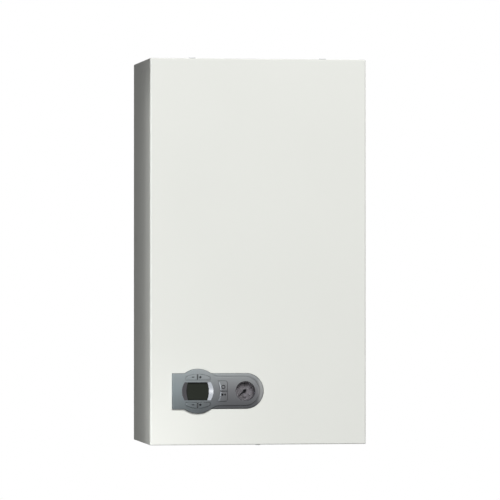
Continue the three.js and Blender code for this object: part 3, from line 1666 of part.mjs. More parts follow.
const onDisc = (points) => points.map(([u, v]) => [discOffset + u, discHeight + v]);
const standing = (points, y) => onDisc(points).map(([x, z]) => new THREE.Vector3(x, y, z));

/** One of the four keys above and below the display. side is -1 or 1, level 1 above, -1 below. */
function arcKeyOutline(side, level, grow) {
  const radius = arcKeyRadius + grow;
  const centre = arcKeyTop - arcKeyRadius;
  const inner = arcKeyInner - grow;
  const outer = arcKeyOuter + grow;
  const from = Math.acos(outer / radius);
  const to = Math.acos(inner / radius);
  const points = [[inner, arcKeyBase - grow], [outer, arcKeyBase - grow]];
  const steps = 5;
  for (let i = 0; i <= steps; i++) {
    const angle = from + ((to - from) * i) / steps;
    points.push([radius * Math.cos(angle), centre + radius * Math.sin(angle)]);
  }
  return polygon(onDisc(points.map(([u, v]) => [side * u, level * v])));
}

/** One of the two keys to the right of the disc: level 1 above the middle, -1 below. */
function sideKeyOutline(level, grow) {
  const radius = sideKeyInner - grow;
  const low = sideKeyGap - grow;
  const high = sideKeyTop + grow;
  const right = sideKeyRight + grow;
  const corner = sideKeyCorner + grow;
  const points = [[right, low]];
  const steps = 4;
  for (let i = 0; i <= steps; i++) {
    const angle = (Math.PI / 2) * (i / steps);
    points.push([
      right - corner + corner * Math.cos(angle), high - corner + corner * Math.sin(angle),
    ]);
  }
  for (let i = 0; i <= steps; i++) {
    const v = high + ((low - high) * i) / steps;
    points.push([Math.sqrt(radius ** 2 - v ** 2), v]);
  }
  return polygon(onDisc(points.map(([u, v]) => [u, level * v])));
}

const arcKeys = [
  ["water_minus_key", -1, 1],
  ["water_plus_key", 1, 1],
  ["heating_minus_key", -1, -1],
  ["heating_plus_key", 1, -1],
];
const sideKeys = [
  ["power_key", 1],
  ["mode_key", -1],
];

function fascia() {
  const rim = prism("y", fasciaOutline(0), rimFace, fasciaBack, { sides: 12, bevel: fasciaBevel });
  const field = prism("y", plateauOutline(), plateauFace, fasciaBack - fasciaBevel, {
    sides: 10,
    bevel: fasciaBevel,
  });
  const mouth = plateauFace - windowMouth;
  const windowFloor = plateauFace + windowDepth;
  const slopes = loft([
    ...standing(windowPoints(), mouth),
    ...standing(displayPoints(0), windowFloor),
  ]);
  const [front, rear] = [plateauFace - past, fasciaBack + past];
  const holes = [slopes, prism("y", polygon(onDisc(displayPoints(0))), windowFloor - weld, rear)];
  for (const [, side, level] of arcKeys) {
    holes.push(prism("y", arcKeyOutline(side, level, keyClearance), front, rear));
  }
  for (const [, level] of sideKeys) {
    holes.push(prism("y", sideKeyOutline(level, keyClearance), front, rear));
  }
  const ledge = plateauFace + gaugeGlassDepth + gaugeGlassThickness + seatGap;
  const sightRadius = gaugeWindowRadius - gaugeLedge;
  holes.push(cylinder("y", gaugeX, discHeight, gaugeWindowRadius, front, ledge, 24));
  holes.push(cylinder("y", gaugeX, discHeight, sightRadius, front, rear, 24));
  return cut(join(rim, field), ...holes);
}

function lcdDisplay() {
  const outline = polygon(onDisc(displayPoints(seatGap)));
  return prism("y", outline, displayFace, boardFace - seatGap);
}

/** A key cap, the tab that keeps it behind the fascia and the stem that reaches the board. */
function key(outline, u, v, tab) {
  const capBack = fasciaBack + seatGap + keyTab;
  const cap = prism("y", outline, plateauFace - keyProud, capBack - weld, { bevel: keyBevel });
  const [u0, u1, v0, v1] = tab;
  const tabPlate = box(
    discOffset + u0, discOffset + u1, fasciaBack + seatGap, capBack,
    discHeight + v0, discHeight + v1,
  );
  const stemEnd = boardFace - keyTravel - seatGap;
  const stem = cylinder("y", discOffset + u, discHeight + v, keyStem, capBack - past, stemEnd, 12);
  return join(cap, tabPlate, stem);
}

function arcKey(side, level) {
  const [left, right] = ordered(side * (arcKeyInner + keyTabInset), side * (arcKeyOuter + keyTabReach));
  const [low, high] = ordered(
    level * (arcKeyBase - keyTabReach), level * (arcKeyBase + 2 * keyTabInset),
  );
  const u = (side * (arcKeyInner + arcKeyOuter)) / 2;
  const v = level * (arcKeyBase + arcKeyStemRise);
  return key(arcKeyOutline(side, level, 0), u, v, [left, right, low, high]);
}

function sideKey(level) {
  const [low, high] = ordered(level * (sideKeyGap + keyTabInset), level * (sideKeyTop - keyTabInset));
  const tab = [sideKeyInner + keyTabReach, sideKeyRight + keyTabReach, low, high];
  const u = (sideKeyInner + sideKeyRight) / 2;
  return key(sideKeyOutline(level, 0), u, (level * sideKeyTop) / 2, tab);
}

function gaugeCase() {
  const rear = boardFace - seatGap;
  const front = fasciaBack + seatGap;
  const wellRadius = gaugeWindowRadius - gaugeLedge;
  const bore = spindlePin + seatGap;
  const boreEnd = dialFace + dialThickness;
  return turned("y", gaugeX, discHeight, [
    [bore, dialFace],
    [wellRadius, dialFace],
    [wellRadius, front],
    [gaugeCaseRadius, front],
    [gaugeCaseRadius, rear],
    [0, rear],
    [0, boreEnd],
    [bore, boreEnd],
    [bore, dialFace],
  ], 24);
}

function gaugeGlass() {
  const front = plateauFace + gaugeGlassDepth;
  const radius = gaugeWindowRadius - seatGap;
  return cylinder("y", gaugeX, discHeight, radius, front, front + gaugeGlassThickness, 24);
}

function gaugeNeedle() {
  const rear = dialFace - seatGap;
  const hub = cylinder("y", gaugeX, discHeight, needleHub, rear - needleHubHeight, rear, 18);
  const pinEnd = dialFace + dialThickness - weld;
  const spindle = cylinder("y", gaugeX, discHeight, spindlePin, rear - weld, pinEnd, 12);
  const outline = polygon([
    [-needleTail, -needleTailHalf],
    [0, -needleHalf],
    [needleLength, -needleTipHalf],
    [needleLength, needleTipHalf],
    [0, needleHalf],
    [-needleTail, needleTailHalf],
  ]);
  const needleBack = rear - needleLift;
  const pointer = prism("y", outline, needleBack - needleThickness, needleBack)
    .rotate([0, -needleRest, 0])
    .translate([gaugeX, 0, discHeight]);
  return join(hub, spindle, pointer);
}

// ---------------------------------------------------------------- assembly

const boiler = new THREE.Group();

function assembly() {
  const group = new THREE.Group();
  boiler.add(group);
  return group;
}

function add(group, name, solid, finish) {
  const mesh = new THREE.Mesh(toGeometry(solid), finish);
  mesh.name = name;
  group.add(mesh);
}

const frameGroup = assembly();
add(frameGroup, "wall_rail", wallRail(), darkSteel);
add(frameGroup, "back_frame", backFrame(), steel);
add(frameGroup, "top_panel", topPanel(), steel);
add(frameGroup, "bottom_panel", bottomPanel(), steel);
add(frameGroup, "casing_screw", casingScrew(), darkSteel);
add(frameGroup, "cable_gland", cableGland(), blackPlastic);

const casingGroup = assembly();
add(casingGroup, "casing_shell", casingShell(), whiteSheet);

const chamberGroup = assembly();
add(chamberGroup, "sealed_chamber", sealedChamber(), steel);
add(chamberGroup, "chamber_cover", chamberCover(), steel);
add(chamberGroup, "flue_collar", flueCollar(), aluminium);
add(chamberGroup, "exhaust_tube", exhaustTube(), aluminium);
add(chamberGroup, "burner", burner(), steel);
add(chamberGroup, "gas_manifold", gasManifold(), copper);
add(chamberGroup, "combustion_chamber", combustionChamber(), fibreBoard);
add(chamberGroup, "main_heat_exchanger", mainHeatExchanger(), copper);
add(chamberGroup, "flue_hood", flueHood(), aluminium);
add(chamberGroup, "fan_scroll", fanScroll(), aluminium);
add(chamberGroup, "fan_wheel", fanWheel(), aluminium);
add(chamberGroup, "fan_motor", fanMotor(), darkSteel);
add(chamberGroup, "air_pressure_switch", airPressureSwitch(), whitePlastic);
add(chamberGroup, "pressure_hose", pressureHose(), rubber);
add(chamberGroup, "ignition_electrode", ignitionElectrode(), ceramic);

const waterGroup = assembly();
add(waterGroup, "expansion_vessel", expansionVessel(), redPaint);
add(waterGroup, "vessel_hose", vesselHose(), steel);
add(waterGroup, "flow_block", flowBlock(), brass);
add(waterGroup, "diverter_spindle", diverterSpindle(), steel);
add(waterGroup, "diverter_motor", diverterMotor(), blackPlastic);
add(waterGroup, "plate_heat_exchanger", plateHeatExchanger(), steel);
add(waterGroup, "gas_valve", gasValve(), aluminium);
add(waterGroup, "flow_pipe", flowPipe(), copper);
add(waterGroup, "return_pipe", returnPipe(), copper);
add(waterGroup, "return_block", returnBlock(), brass);
add(waterGroup, "pump_volute", pumpVolute(), darkSteel);
add(waterGroup, "pump_motor", pumpMotor(), blackPlastic);
add(waterGroup, "pump_impeller", pumpImpeller(), whitePlastic);
add(waterGroup, "flow_sensor", flowSensor(), brass);
add(waterGroup, "flow_turbine", flowTurbine(), whitePlastic);
add(waterGroup, "filling_valve", fillingValve(), brass);
add(waterGroup, "filling_knob", fillingKnob(), bluePlastic);
add(waterGroup, "safety_valve", safetyValve(), brass);
add(waterGroup, "safety_knob", safetyKnob(), redPlastic);
add(waterGroup, "heating_flow_union", pipeUnion(-2), brass);
add(waterGroup, "hot_water_union", pipeUnion(-1), brass);
add(waterGroup, "gas_union", pipeUnion(0), brass);
add(waterGroup, "cold_water_union", pipeUnion(1), brass);
add(waterGroup, "heating_return_union", pipeUnion(2), brass);

const controlGroup = assembly();
add(controlGroup, "box_tray", boxTray(), greyPlastic);
add(controlGroup, "box_lid", boxLidPlate(), greyPlastic);
add(controlGroup, "circuit_board", circuitBoard(), greenBoard);
add(controlGroup, "lcd_display", lcdDisplay(), displayGlass);
add(controlGroup, "fascia", fascia(), silverPlastic);
add(controlGroup, "gauge_case", gaugeCase(), dialWhite);
add(controlGroup, "gauge_glass", gaugeGlass(), clearGlass);
add(controlGroup, "gauge_needle", gaugeNeedle(), blackPlastic);
for (const [name, side, level] of arcKeys) {
  add(controlGroup, name, arcKey(side, level), silverPlastic);
}
for (const [name, level] of sideKeys) add(controlGroup, name, sideKey(level), silverPlastic);

boiler.position.z = -railHeight;

export default boiler;
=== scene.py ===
"""Looks of a wall-hung combi boiler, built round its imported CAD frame.

The helpers take millimetres, with heights measured from the casing's lower edge. Everything they
build is turned into the frame's metres as it becomes an object.
"""

import math

import bmesh
import bpy
from mathutils import Matrix, Vector


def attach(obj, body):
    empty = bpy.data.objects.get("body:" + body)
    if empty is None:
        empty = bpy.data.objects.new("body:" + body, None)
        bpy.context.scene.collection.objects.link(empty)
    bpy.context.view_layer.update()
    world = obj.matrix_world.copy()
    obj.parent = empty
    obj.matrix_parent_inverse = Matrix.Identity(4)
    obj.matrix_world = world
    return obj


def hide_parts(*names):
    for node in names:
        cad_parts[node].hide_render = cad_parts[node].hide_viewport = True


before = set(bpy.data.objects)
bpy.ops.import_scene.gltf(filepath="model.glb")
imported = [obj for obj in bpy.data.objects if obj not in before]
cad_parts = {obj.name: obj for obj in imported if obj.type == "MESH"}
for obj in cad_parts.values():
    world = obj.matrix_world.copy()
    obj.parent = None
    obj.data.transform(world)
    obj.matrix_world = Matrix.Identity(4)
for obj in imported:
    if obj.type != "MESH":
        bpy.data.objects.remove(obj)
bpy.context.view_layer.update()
scene = bpy.context.scene
scene.view_settings.view_transform = "Standard"

MM = 0.001
RAIL = 640  # the frame's origin above the casing's lower edge
TO_FRAME = Matrix.Scale(MM, 4) @ Matrix.Translation((0, 0, -RAIL))
RIGHT_ANGLE = math.pi / 2
TINY = 1e-6
MIDDLE = (0, -115, 350)  # of the boiler

# ---------------------------------------------------------------- outlines


def arc(u, v, radius, start, end, steps):
    """Points on an arc, angles in radians, both ends included."""
    turn = (end - start) / steps
    return [
        (u + radius * math.cos(start + turn * i), v + radius * math.sin(start + turn * i))
        for i in range(steps + 1)
    ]


def circle(u, v, radius, sides=48):
    return arc(u, v, radius, 0, 2 * math.pi * (1 - 1 / sides), sides - 1)


def rounded_rectangle(u0, u1, v0, v1, radius, steps=5):
    points = []
    for quarter, (u, v) in enumerate([(u1, v1), (u0, v1), (u0, v0), (u1, v0)]):
        cu = u - radius if u == u1 else u + radius
        cv = v - radius if v == v1 else v + radius
        start = quarter * RIGHT_ANGLE
        points += arc(cu, cv, radius, start, start + RIGHT_ANGLE, steps)
    return points


def rounding(radius, steps):
    """How far a rounded end edge lies in from the side and from the end, starting at the end."""
    turns = [RIGHT_ANGLE * i / steps for i in range(steps + 1)]
    return [(radius * (1 - math.sin(turn)), radius * (1 - math.cos(turn))) for turn in turns]


# ---------------------------------------------------------------- meshes


def place(axis, u, v, along):
    """A point of an outline that stands across an axis: (x, z) across y, (x, y) across z."""
    return (u, along, v) if axis == "y" else (u, v, along)


def paint(faces, slot):
    for face in faces:
        face.material_index = slot


def loft(bm, axis, rings, closed=True, capped=True, slot=0):
    """Joins rings of (outline, distance along the axis), all with the same number of points."""
    rows = [
        [bm.verts.new(place(axis, u, v, along)) for u, v in outline]
        for outline, along in rings
    ]
    count = len(rows[0])
    faces = []
    for low, high in zip(rows, rows[1:]):
        for i in range(count if closed else count - 1):
            j = (i + 1) % count
            faces.append(bm.faces.new((low[i], low[j], high[j], high[i])))
    if capped:
        faces.append(bm.faces.new(rows[0][::-1]))
        faces.append(bm.faces.new(rows[-1]))
    paint(faces, slot)


def rounded_prism(bm, axis, outline, low, high, radius, both_ends=False, steps=3):
    """A prism with a rounded edge at its low end or at both.

    outline(grow) gives the outline, larger all round by grow.
    """
    edge = rounding(radius, steps)
    rings = [(outline(-inset), low + along) for inset, along in edge]
    if both_ends:
        rings += [(outline(-inset), high - along) for inset, along in reversed(edge)]
    else:
        rings.append((outline(0), high))
    loft(bm, axis, rings)


def block(bm, x0, x1, y0, y1, z0, z1, edge):
    """A box with rounded edges."""

    def outline(grow):
        return rounded_rectangle(x0 - grow, x1 + grow, y0 - grow, y1 + grow, edge, 3)

    rounded_prism(bm, "z", outline, z0, z1, edge, both_ends=True)


def softened(profile, radius, closed):
    """A profile of (radius, distance) pairs with its corners rounded off, but not on the axis."""
    points = []
    last = len(profile) - 1
    for i, (r, t) in enumerate(profile):
        here = Vector((r, t))
        back = Vector(profile[i - 1]) - here
        on = Vector(profile[(i + 1) % len(profile)]) - here
        cut = min(radius, back.length / 2.2, on.length / 2.2)
        is_end = not closed and i in (0, last)
        if is_end or r < TINY or cut < TINY:
            points.append((r, t))
            continue
        start, end = here + back.normalized() * cut, here + on.normalized() * cut
        for k in range(4):
            s = k / 3
            p = start * (1 - s) ** 2 + here * 2 * s * (1 - s) + end * s**2
            points.append((p.x, p.y))
    return points


def lathe(bm, axis, u, v, profile, sides, soft, closed=False, slot=0):
    """A profile turned about an axis through (u, v). An open one starts and ends on the axis."""
    rows = []
    for r, t in softened(profile, soft, closed):
        outline = [(u, v)] if r < TINY else circle(u, v, r, sides)
        rows.append([bm.verts.new(place(axis, a, b, t)) for a, b in outline])
    pairs = list(zip(rows, rows[1:])) + ([(rows[-1], rows[0])] if closed else [])
    faces = []
    for low, high in pairs:
        for i in range(sides):
            j = (i + 1) % sides
            corners = [row[k % len(row)] for row, k in ((low, i), (low, j), (high, j), (high, i))]
            corners = list(dict.fromkeys(corners))
            if len(corners) > 2:
                faces.append(bm.faces.new(corners))
    paint(faces, slot)


def to_object(name, bm, *finishes):
    """The object of a mesh in millimetres."""
    bmesh.ops.recalc_face_normals(bm, faces=bm.faces)
    mesh = bpy.data.meshes.new(name)
    bmesh.ops.transform(bm, matrix=TO_FRAME, verts=bm.verts)
    bm.to_mesh(mesh)
    bm.free()
    for material in finishes:
        mesh.materials.append(material)
    thing = bpy.data.objects.new(name, mesh)
    scene.collection.objects.link(thing)
    return thing


def applied(thing):
    """Writes the modifiers into the mesh."""
    graph = bpy.context.evaluated_depsgraph_get()
    mesh = bpy.data.meshes.new_from_object(thing.evaluated_get(graph))
    thing.modifiers.clear()
    thing.data = mesh


def cutter(axis, rings, material):
    """A prism to carve with. It leaves its material on the faces that it cuts."""
    bm = bmesh.new()
    loft(bm, axis, rings)
    return to_object("cutter", bm, material)


def carve(thing, others, operation="DIFFERENCE"):
    """Cuts a thing by others, or joins them to it. The others go."""
    for other in others:
        step = thing.modifiers.new("carve", "BOOLEAN")
        step.operation = operation
        step.solver = "EXACT"
        step.material_mode = "TRANSFER"
        step.object = other
    applied(thing)
    for other in others:
        bpy.data.objects.remove(other)


def bevelled(thing, edge, limit):
    """Adds a fine rounding, in millimetres, to edges sharper than a limit in degrees."""
    bevel = thing.modifiers.new("edges", "BEVEL")
    bevel.width = edge * MM
    bevel.segments = 2
    bevel.limit_method = "ANGLE"
    bevel.angle_limit = math.radians(limit)
    return bevel


def weighted(thing):
    """Keeps large flat faces flat under smooth shading."""
    thing.modifiers.new("normals", "WEIGHTED_NORMAL").keep_sharp = True


def shaded(thing, sharp=34):
    """Smooth shading, except across edges sharper than an angle in degrees."""
    thing.data.shade_smooth()
    thing.data.set_sharp_from_angle(angle=math.radians(sharp))
    weighted(thing)
    return thing


def piece(thing, body, slot, *nodes):
    """Puts a finished thing on its body, in the place of the CAD nodes it stands for."""
    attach(thing, body)
    if nodes:
        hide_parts(*nodes)


# ---------------------------------------------------------------- materials


def combined(tree, operation, first, second):
    """The result of a sum on two outputs, or on an output and a number."""
    node = tree.nodes.new("ShaderNodeMath")
    node.operation = operation
    tree.links.new(first, node.inputs[0])
    if isinstance(second, float):
        node.inputs[1].default_value = second
    else:
        tree.links.new(second, node.inputs[1])
    return node.outputs[0]


def blended(tree, share, first, second):
    """A surface or background that is the first where share is 0 and the second where it is 1."""
    mix = tree.nodes.new("ShaderNodeMixShader")
    for source, target in zip((share, first, second), mix.inputs):
        tree.links.new(source, target)
    return mix.outputs["Shader"]


def seen(tree):
    """1 for rays that come from the camera, a mirror-like surface or through glass, else 0."""
    path = tree.nodes.new("ShaderNodeLightPath")
    total = path.outputs["Is Camera Ray"]
    for name in ("Is Glossy Ray", "Is Transmission Ray"):
        total = combined(tree, "MAXIMUM", total, path.outputs[name])
    return total


class Nodes:
    """A material's node tree, with short calls to add and link nodes."""

    def __init__(self, name):
        self.material = bpy.data.materials.new(name)
        self.material.use_nodes = True
        self.tree = self.material.node_tree
        self.shader = self.tree.nodes["Principled BSDF"]
        self.where = self.add("TexCoord").outputs["Object"]

    def add(self, kind, **values):
        node = self.tree.nodes.new("ShaderNode" + kind)
        for key, value in values.items():
            if hasattr(node, key):
                setattr(node, key, value)
            else:
                node.inputs[key.replace("_", " ").title()].default_value = value
        return node

    def link(self, source, target):
        self.tree.links.new(source, target)

    def feed(self, name, source):
        """Drives one of the main shader's inputs."""
        self.link(source, self.shader.inputs[name])

    def surface(self, source):
        """Makes an output the material's surface, in the main shader's place."""
        self.link(source, self.tree.nodes["Material Output"].inputs["Surface"])

    def set(self, **values):
        for key, value in values.items():
            self.shader.inputs[key.replace("_", " ")].default_value = value

    def scaled(self, scale):
        mapping = self.add("Mapping")
        mapping.inputs["Scale"].default_value = scale
        self.link(self.where, mapping.inputs["Vector"])
        return mapping.outputs["Vector"]

    def noise(self, scale, detail=2.0, where=None):
        node = self.add("TexNoise", scale=scale, detail=detail)
        self.link(where or self.where, node.inputs["Vector"])
        return node.outputs["Fac"]

    def ramp(self, source, *stops):
        node = self.add("ValToRGB")
        ramp = node.color_ramp
        while len(ramp.elements) < len(stops):
            ramp.elements.new(0.5)
        for element, (position, colour) in zip(ramp.elements, stops):
            element.position = position
            element.color = (*colour, 1)
        self.link(source, node.inputs["Fac"])
        return node.outputs["Color"]

    def spread(self, source, low, high, start=0.3, end=0.7):
        """Maps start to end onto low to high."""
        node = self.add("MapRange", from_min=start, from_max=end, to_min=low, to_max=high)
        self.link(source, node.inputs["Value"])
        return node.outputs["Result"]

    def mixed(self, share, first, second):
        """A colour that is the first where share is 0 and the second where it is 1."""
        mix = self.add("Mix", data_type="RGBA")
        for name, source in (("Factor", share), ("A", first), ("B", second)):
            self.link(source, mix.inputs[name])
        return mix.outputs["Result"]

    def bump(self, source, depth):
        """Relief of that depth in millimetres."""
        node = self.add("Bump", strength=1.0)
        node.inputs["Distance"].default_value = depth * MM
        self.link(source, node.inputs["Height"])
        self.feed("Normal", node.outputs["Normal"])


def shade(colour, share):
    return tuple(min(1, c * share) for c in colour)


def finish(
    name, colour, roughness, mottle=0.05, patch=40, grain=0.01, grain_scale=1500,
    spread=0.05, stretch=(1, 1, 1), **values
):
    """Colour and gloss that vary softly over patches, under a fine grain.

    patch and grain_scale are in waves a metre, and grain is a depth in millimetres.
    """
    n = Nodes(name)
    n.set(**values)
    where = n.scaled(stretch)
    patches = n.noise(patch, 3, where)
    n.feed("Base Color", n.ramp(
        patches, (0.3, shade(colour, 1 - mottle)), (0.7, shade(colour, 1 + mottle))
    ))
    n.feed("Roughness", n.spread(patches, roughness - spread, roughness + spread))
    n.bump(n.noise(grain_scale, 2, where), grain)
    return n.material


def galvanised_steel():
    """Zinc-coated sheet, with grains that differ in tone and gloss."""
    n = Nodes("galvanised_steel")
    n.set(Metallic=0.7)
    cells = n.add("TexVoronoi", scale=70.0, randomness=1.0)
    n.link(n.where, cells.inputs["Vector"])
    tone = n.add("SeparateColor")
    n.link(cells.outputs["Color"], tone.inputs["Color"])
    n.feed("Base Color", n.ramp(
        tone.outputs["Red"], (0, (0.36, 0.375, 0.39)), (1, (0.45, 0.465, 0.48))
    ))
    n.feed("Roughness", n.spread(tone.outputs["Green"], 0.5, 0.62, 0, 1))
    n.bump(n.noise(600, 3), 0.01)
    return n.material


def satin_plastic():
    """The control panel's silver-grey lacquer, with painted light and shade in its colour: paler
    towards its top and its left, darker low on the right, and a painted highlight at its right end.
    """
    n = Nodes("satin_silver_plastic")
    n.set(Metallic=0.25, IOR=1.45, Specular_IOR_Level=0.5)
    axes = n.add("SeparateXYZ")
    n.link(n.where, axes.inputs["Vector"])
    low, high = [(z - RAIL) * MM for z in (62, 136)]
    # Painted light and shade, not the lacquer's own tone: the colour grows paler with height, as if
    # lit from above, and darker low on the right.
    rise = n.spread(axes.outputs["Z"], 0, 1, low, high)
    left = n.ramp(
        rise, (0, (0.118, 0.138, 0.145)), (0.5, (0.212, 0.246, 0.256)), (1, (0.285, 0.318, 0.330))
    )
    right = n.ramp(
        rise, (0, (0.048, 0.050, 0.055)), (0.5, (0.152, 0.154, 0.162)), (1, (0.325, 0.345, 0.350))
    )
    # Painted highlight: the right end of the rim is made paler.
    end = n.ramp(rise, (0, (0.17, 0.172, 0.175)), (1, (0.42, 0.43, 0.43)))
    to_right = n.spread(axes.outputs["X"], 0, 1, -0.150, -0.060)
    to_end = n.spread(axes.outputs["X"], 0, 1, -0.003, 0.003)
    n.feed("Base Color", n.mixed(to_end, n.mixed(to_right, left, right), end))
    n.feed("Roughness", n.spread(n.noise(120, 2), 0.34, 0.42))
    n.bump(n.noise(2500, 2), 0.004)
    return n.material


def white_enamel():
    """Stoved enamel with a fine orange peel, glossier seen square on than at a glance."""
    n = Nodes("white_enamel")
    patches = n.noise(6, 3)
    n.feed("Base Color", n.ramp(
        patches, (0.3, (0.795, 0.805, 0.763)), (0.7, (0.805, 0.815, 0.773))
    ))
    n.feed("Roughness", n.spread(patches, 0.36, 0.44))
    glance = n.add("LayerWeight", blend=0.5)
    n.feed("Specular IOR Level", n.spread(glance.outputs["Facing"], 0.25, 0, 0.4, 0.8))
    n.bump(n.noise(420, 2), 0.006)
    return n.material


def glass():
    """A thin clear pane: mostly see-through, and it casts no shadow."""
    n = Nodes("clear_glass")
    n.set(Roughness=0.02, IOR=1.15, Transmission_Weight=1.0)
    n.feed("Base Color", n.ramp(n.noise(30, 1), (0, (0.97, 0.98, 0.98)), (1, (1, 1, 1))))
    clearness = 0.85
    share = combined(n.tree, "MAXIMUM", n.add("LightPath").outputs["Is Shadow Ray"], clearness)
    clear = n.add("BsdfTransparent").outputs["BSDF"]
    n.surface(blended(n.tree, share, n.shader.outputs["BSDF"], clear))
    return n.material


WHITE = white_enamel()
GALVANISED = galvanised_steel()
SILVER = satin_plastic()
CLEAR = glass()
DARK_STEEL = finish("phosphated_steel", (0.10, 0.105, 0.11), 0.5, mottle=0.12, Metallic=0.6)
ALUMINIUM = finish(
    "cast_aluminium", (0.43, 0.44, 0.45), 0.4,
    mottle=0.08, patch=90, grain=0.03, grain_scale=900, Metallic=0.9,
)
SPUN = finish(
    "spun_aluminium", (0.50, 0.51, 0.52), 0.3,
    patch=60, grain_scale=500, stretch=(1, 1, 12), Metallic=0.95,
)
BRASS = finish(
    "forged_brass", (0.52, 0.37, 0.16), 0.36,
    mottle=0.14, patch=60, grain=0.02, grain_scale=1200, spread=0.08, Metallic=0.9,
)
COPPER = finish(
    "copper_tube", (0.62, 0.29, 0.17), 0.3,
    mottle=0.2, patch=35, grain=0.005, spread=0.1, Metallic=0.95,
)
RED = finish(
    "red_enamel", (0.40, 0.035, 0.025), 0.35,
    mottle=0.06, grain=0.02, grain_scale=500, Coat_Weight=0.3,
)
BLACK = finish(
    "black_plastic", (0.022, 0.023, 0.025), 0.5, mottle=0.1, grain=0.015, grain_scale=2500
)
GREY = finish("grey_plastic", (0.26, 0.275, 0.29), 0.5, mottle=0.04, grain=0.015, grain_scale=2200)
DARK_GLOSS = finish(
    "dark_gloss_plastic", (0.021, 0.019, 0.026), 0.09, grain=0.002, spread=0.02, IOR=1.68
)
WHITE_PLASTIC = finish("white_plastic", (0.72, 0.72, 0.69), 0.45, mottle=0.03, grain_scale=2200)
BLUE = finish("blue_plastic", (0.03, 0.10, 0.28), 0.45, mottle=0.06, grain_scale=2200)
RED_PLASTIC = finish("red_plastic", (0.42, 0.03, 0.02), 0.45, mottle=0.06, grain_scale=2200)
FIBRE = finish(
    "fibre_board", (0.70, 0.67, 0.58), 0.95, mottle=0.08, patch=120, grain=0.15, grain_scale=500
)
CERAMIC = finish("glazed_ceramic", (0.83, 0.80, 0.72), 0.2, mottle=0.03, grain=0.005)
RUBBER = finish("rubber", (0.03, 0.03, 0.03), 0.8, mottle=0.15, grain=0.02)
CIRCUIT = finish(
    "circuit_board", (0.03, 0.16, 0.07), 0.4, mottle=0.25, patch=300, grain=0.02, grain_scale=700
)
DISPLAY = finish(
    "display_glass", (0.012, 0.015, 0.010), 0.2,
    mottle=0.06, patch=25, grain=0.001, spread=0.02, Specular_IOR_Level=0.2,
)
INK = finish(
    "dark_ink", (0.008, 0.008, 0.009), 0.6, mottle=0.1, grain=0.002, Specular_IOR_Level=0.1
)
DIAL = finish(
    "dial_face", (0.120, 0.113, 0.121), 0.6, mottle=0.03, grain=0.002, Specular_IOR_Level=0.1
)

# ---------------------------------------------------------------- camera, stage and lights


def at(x, y, z):
    return TO_FRAME @ Vector((x, y, z))


def look(thing, direction):
    """Turns a camera or a lamp to face a direction."""
    thing.rotation_euler = direction.to_track_quat("-Z", "Y").to_euler()


def make_camera():
    yaw, pitch = math.radians(9.073), math.radians(0.275)
    level = math.cos(pitch)
    camera = bpy.data.objects.new("camera", bpy.data.cameras.new("camera"))
    scene.collection.objects.link(camera)
    camera.location = at(-1092.8, -6974.9, 320.2)
    look(camera, Vector((math.sin(yaw) * level, math.cos(yaw) * level, math.sin(pitch))))
    camera.data.sensor_width = 36
    camera.data.lens = 271.24
    camera.data.clip_end = 100
    scene.camera = camera


def make_world(ambient):
    """White where it is seen, and a faint cool light on matt surfaces."""
    world = bpy.data.worlds.new("studio")
    scene.world = world
    world.use_nodes = True
    tree = world.node_tree
    light = tree.nodes["Background"]
    light.inputs["Color"].default_value = (0.97, 0.985, 1, 1)
    light.inputs["Strength"].default_value = ambient
    white = tree.nodes.new("ShaderNodeBackground")
    white.inputs["Color"].default_value = (1, 1, 1, 1)
    sky = blended(tree, seen(tree), light.outputs["Background"], white.outputs["Background"])
    tree.links.new(sky, tree.nodes["World Output"].inputs["Surface"])


def floor_finish(radius):
    """A matt surface that looks almost white, and fades out at the rim and from below."""
    lift, fade_start, fade_end = 0.8, 0.6, 0.97
    n = Nodes("pale_floor")
    n.set(Roughness=0.9, Specular_IOR_Level=0.1)
    n.feed("Base Color", n.ramp(
        n.noise(3, 2), (0.3, (0.29, 0.29, 0.285)), (0.7, (0.31, 0.31, 0.305))
    ))
    glow = n.add("Emission")
    glow.inputs["Color"].default_value = (1, 1, 1, 1)
    share = combined(n.tree, "MULTIPLY", seen(n.tree), lift)
    pale = blended(n.tree, share, n.shader.outputs["BSDF"], glow.outputs["Emission"])
    flat = n.add("VectorMath", operation="MULTIPLY")
    flat.inputs[1].default_value = (1, 1, 0)
    n.link(n.where, flat.inputs[0])
    reach = n.add("VectorMath", operation="LENGTH")
    n.link(flat.outputs["Vector"], reach.inputs[0])
    size = radius * MM
    rim = n.spread(reach.outputs["Value"], 0, 1, size * fade_start, size * fade_end)
    below = n.add("NewGeometry").outputs["Backfacing"]
    hidden = combined(n.tree, "MAXIMUM", rim, below)
    n.surface(blended(n.tree, hidden, pale, n.add("BsdfTransparent").outputs["BSDF"]))
    return n.material


def make_floor(height, radius):
    sides = 64
    bm = bmesh.new()
    rings = [(circle(*MIDDLE[:2], r, sides), height) for r in (radius / 3, radius)]
    loft(bm, "z", rings, capped=False)
    bm.faces.new(list(bm.verts)[:sides])
    floor = to_object("floor", bm, floor_finish(radius))
    if floor.data.polygons[0].normal.z < 0:
        floor.data.flip_normals()


def lamp(
    name, place_at, width, height, radiance, target=MIDDLE,
    colour=(1, 1, 1), lights=True, mirrored=True
):
    """A softbox that the camera doesn't see: its place in millimetres and its size in metres.

    It can leave matt surfaces alone (lights) or stay out of reflections (mirrored).
    """
    data = bpy.data.lights.new(name, "AREA")
    data.shape = "RECTANGLE"
    data.size, data.size_y = width, height
    data.energy = radiance * math.pi * width * height
    data.color = colour
    light = bpy.data.objects.new(name, data)
    scene.collection.objects.link(light)
    light.location = at(*place_at)
    look(light, at(*target) - light.location)
    light.visible_camera = False
    light.visible_diffuse = lights
    light.visible_glossy = mirrored


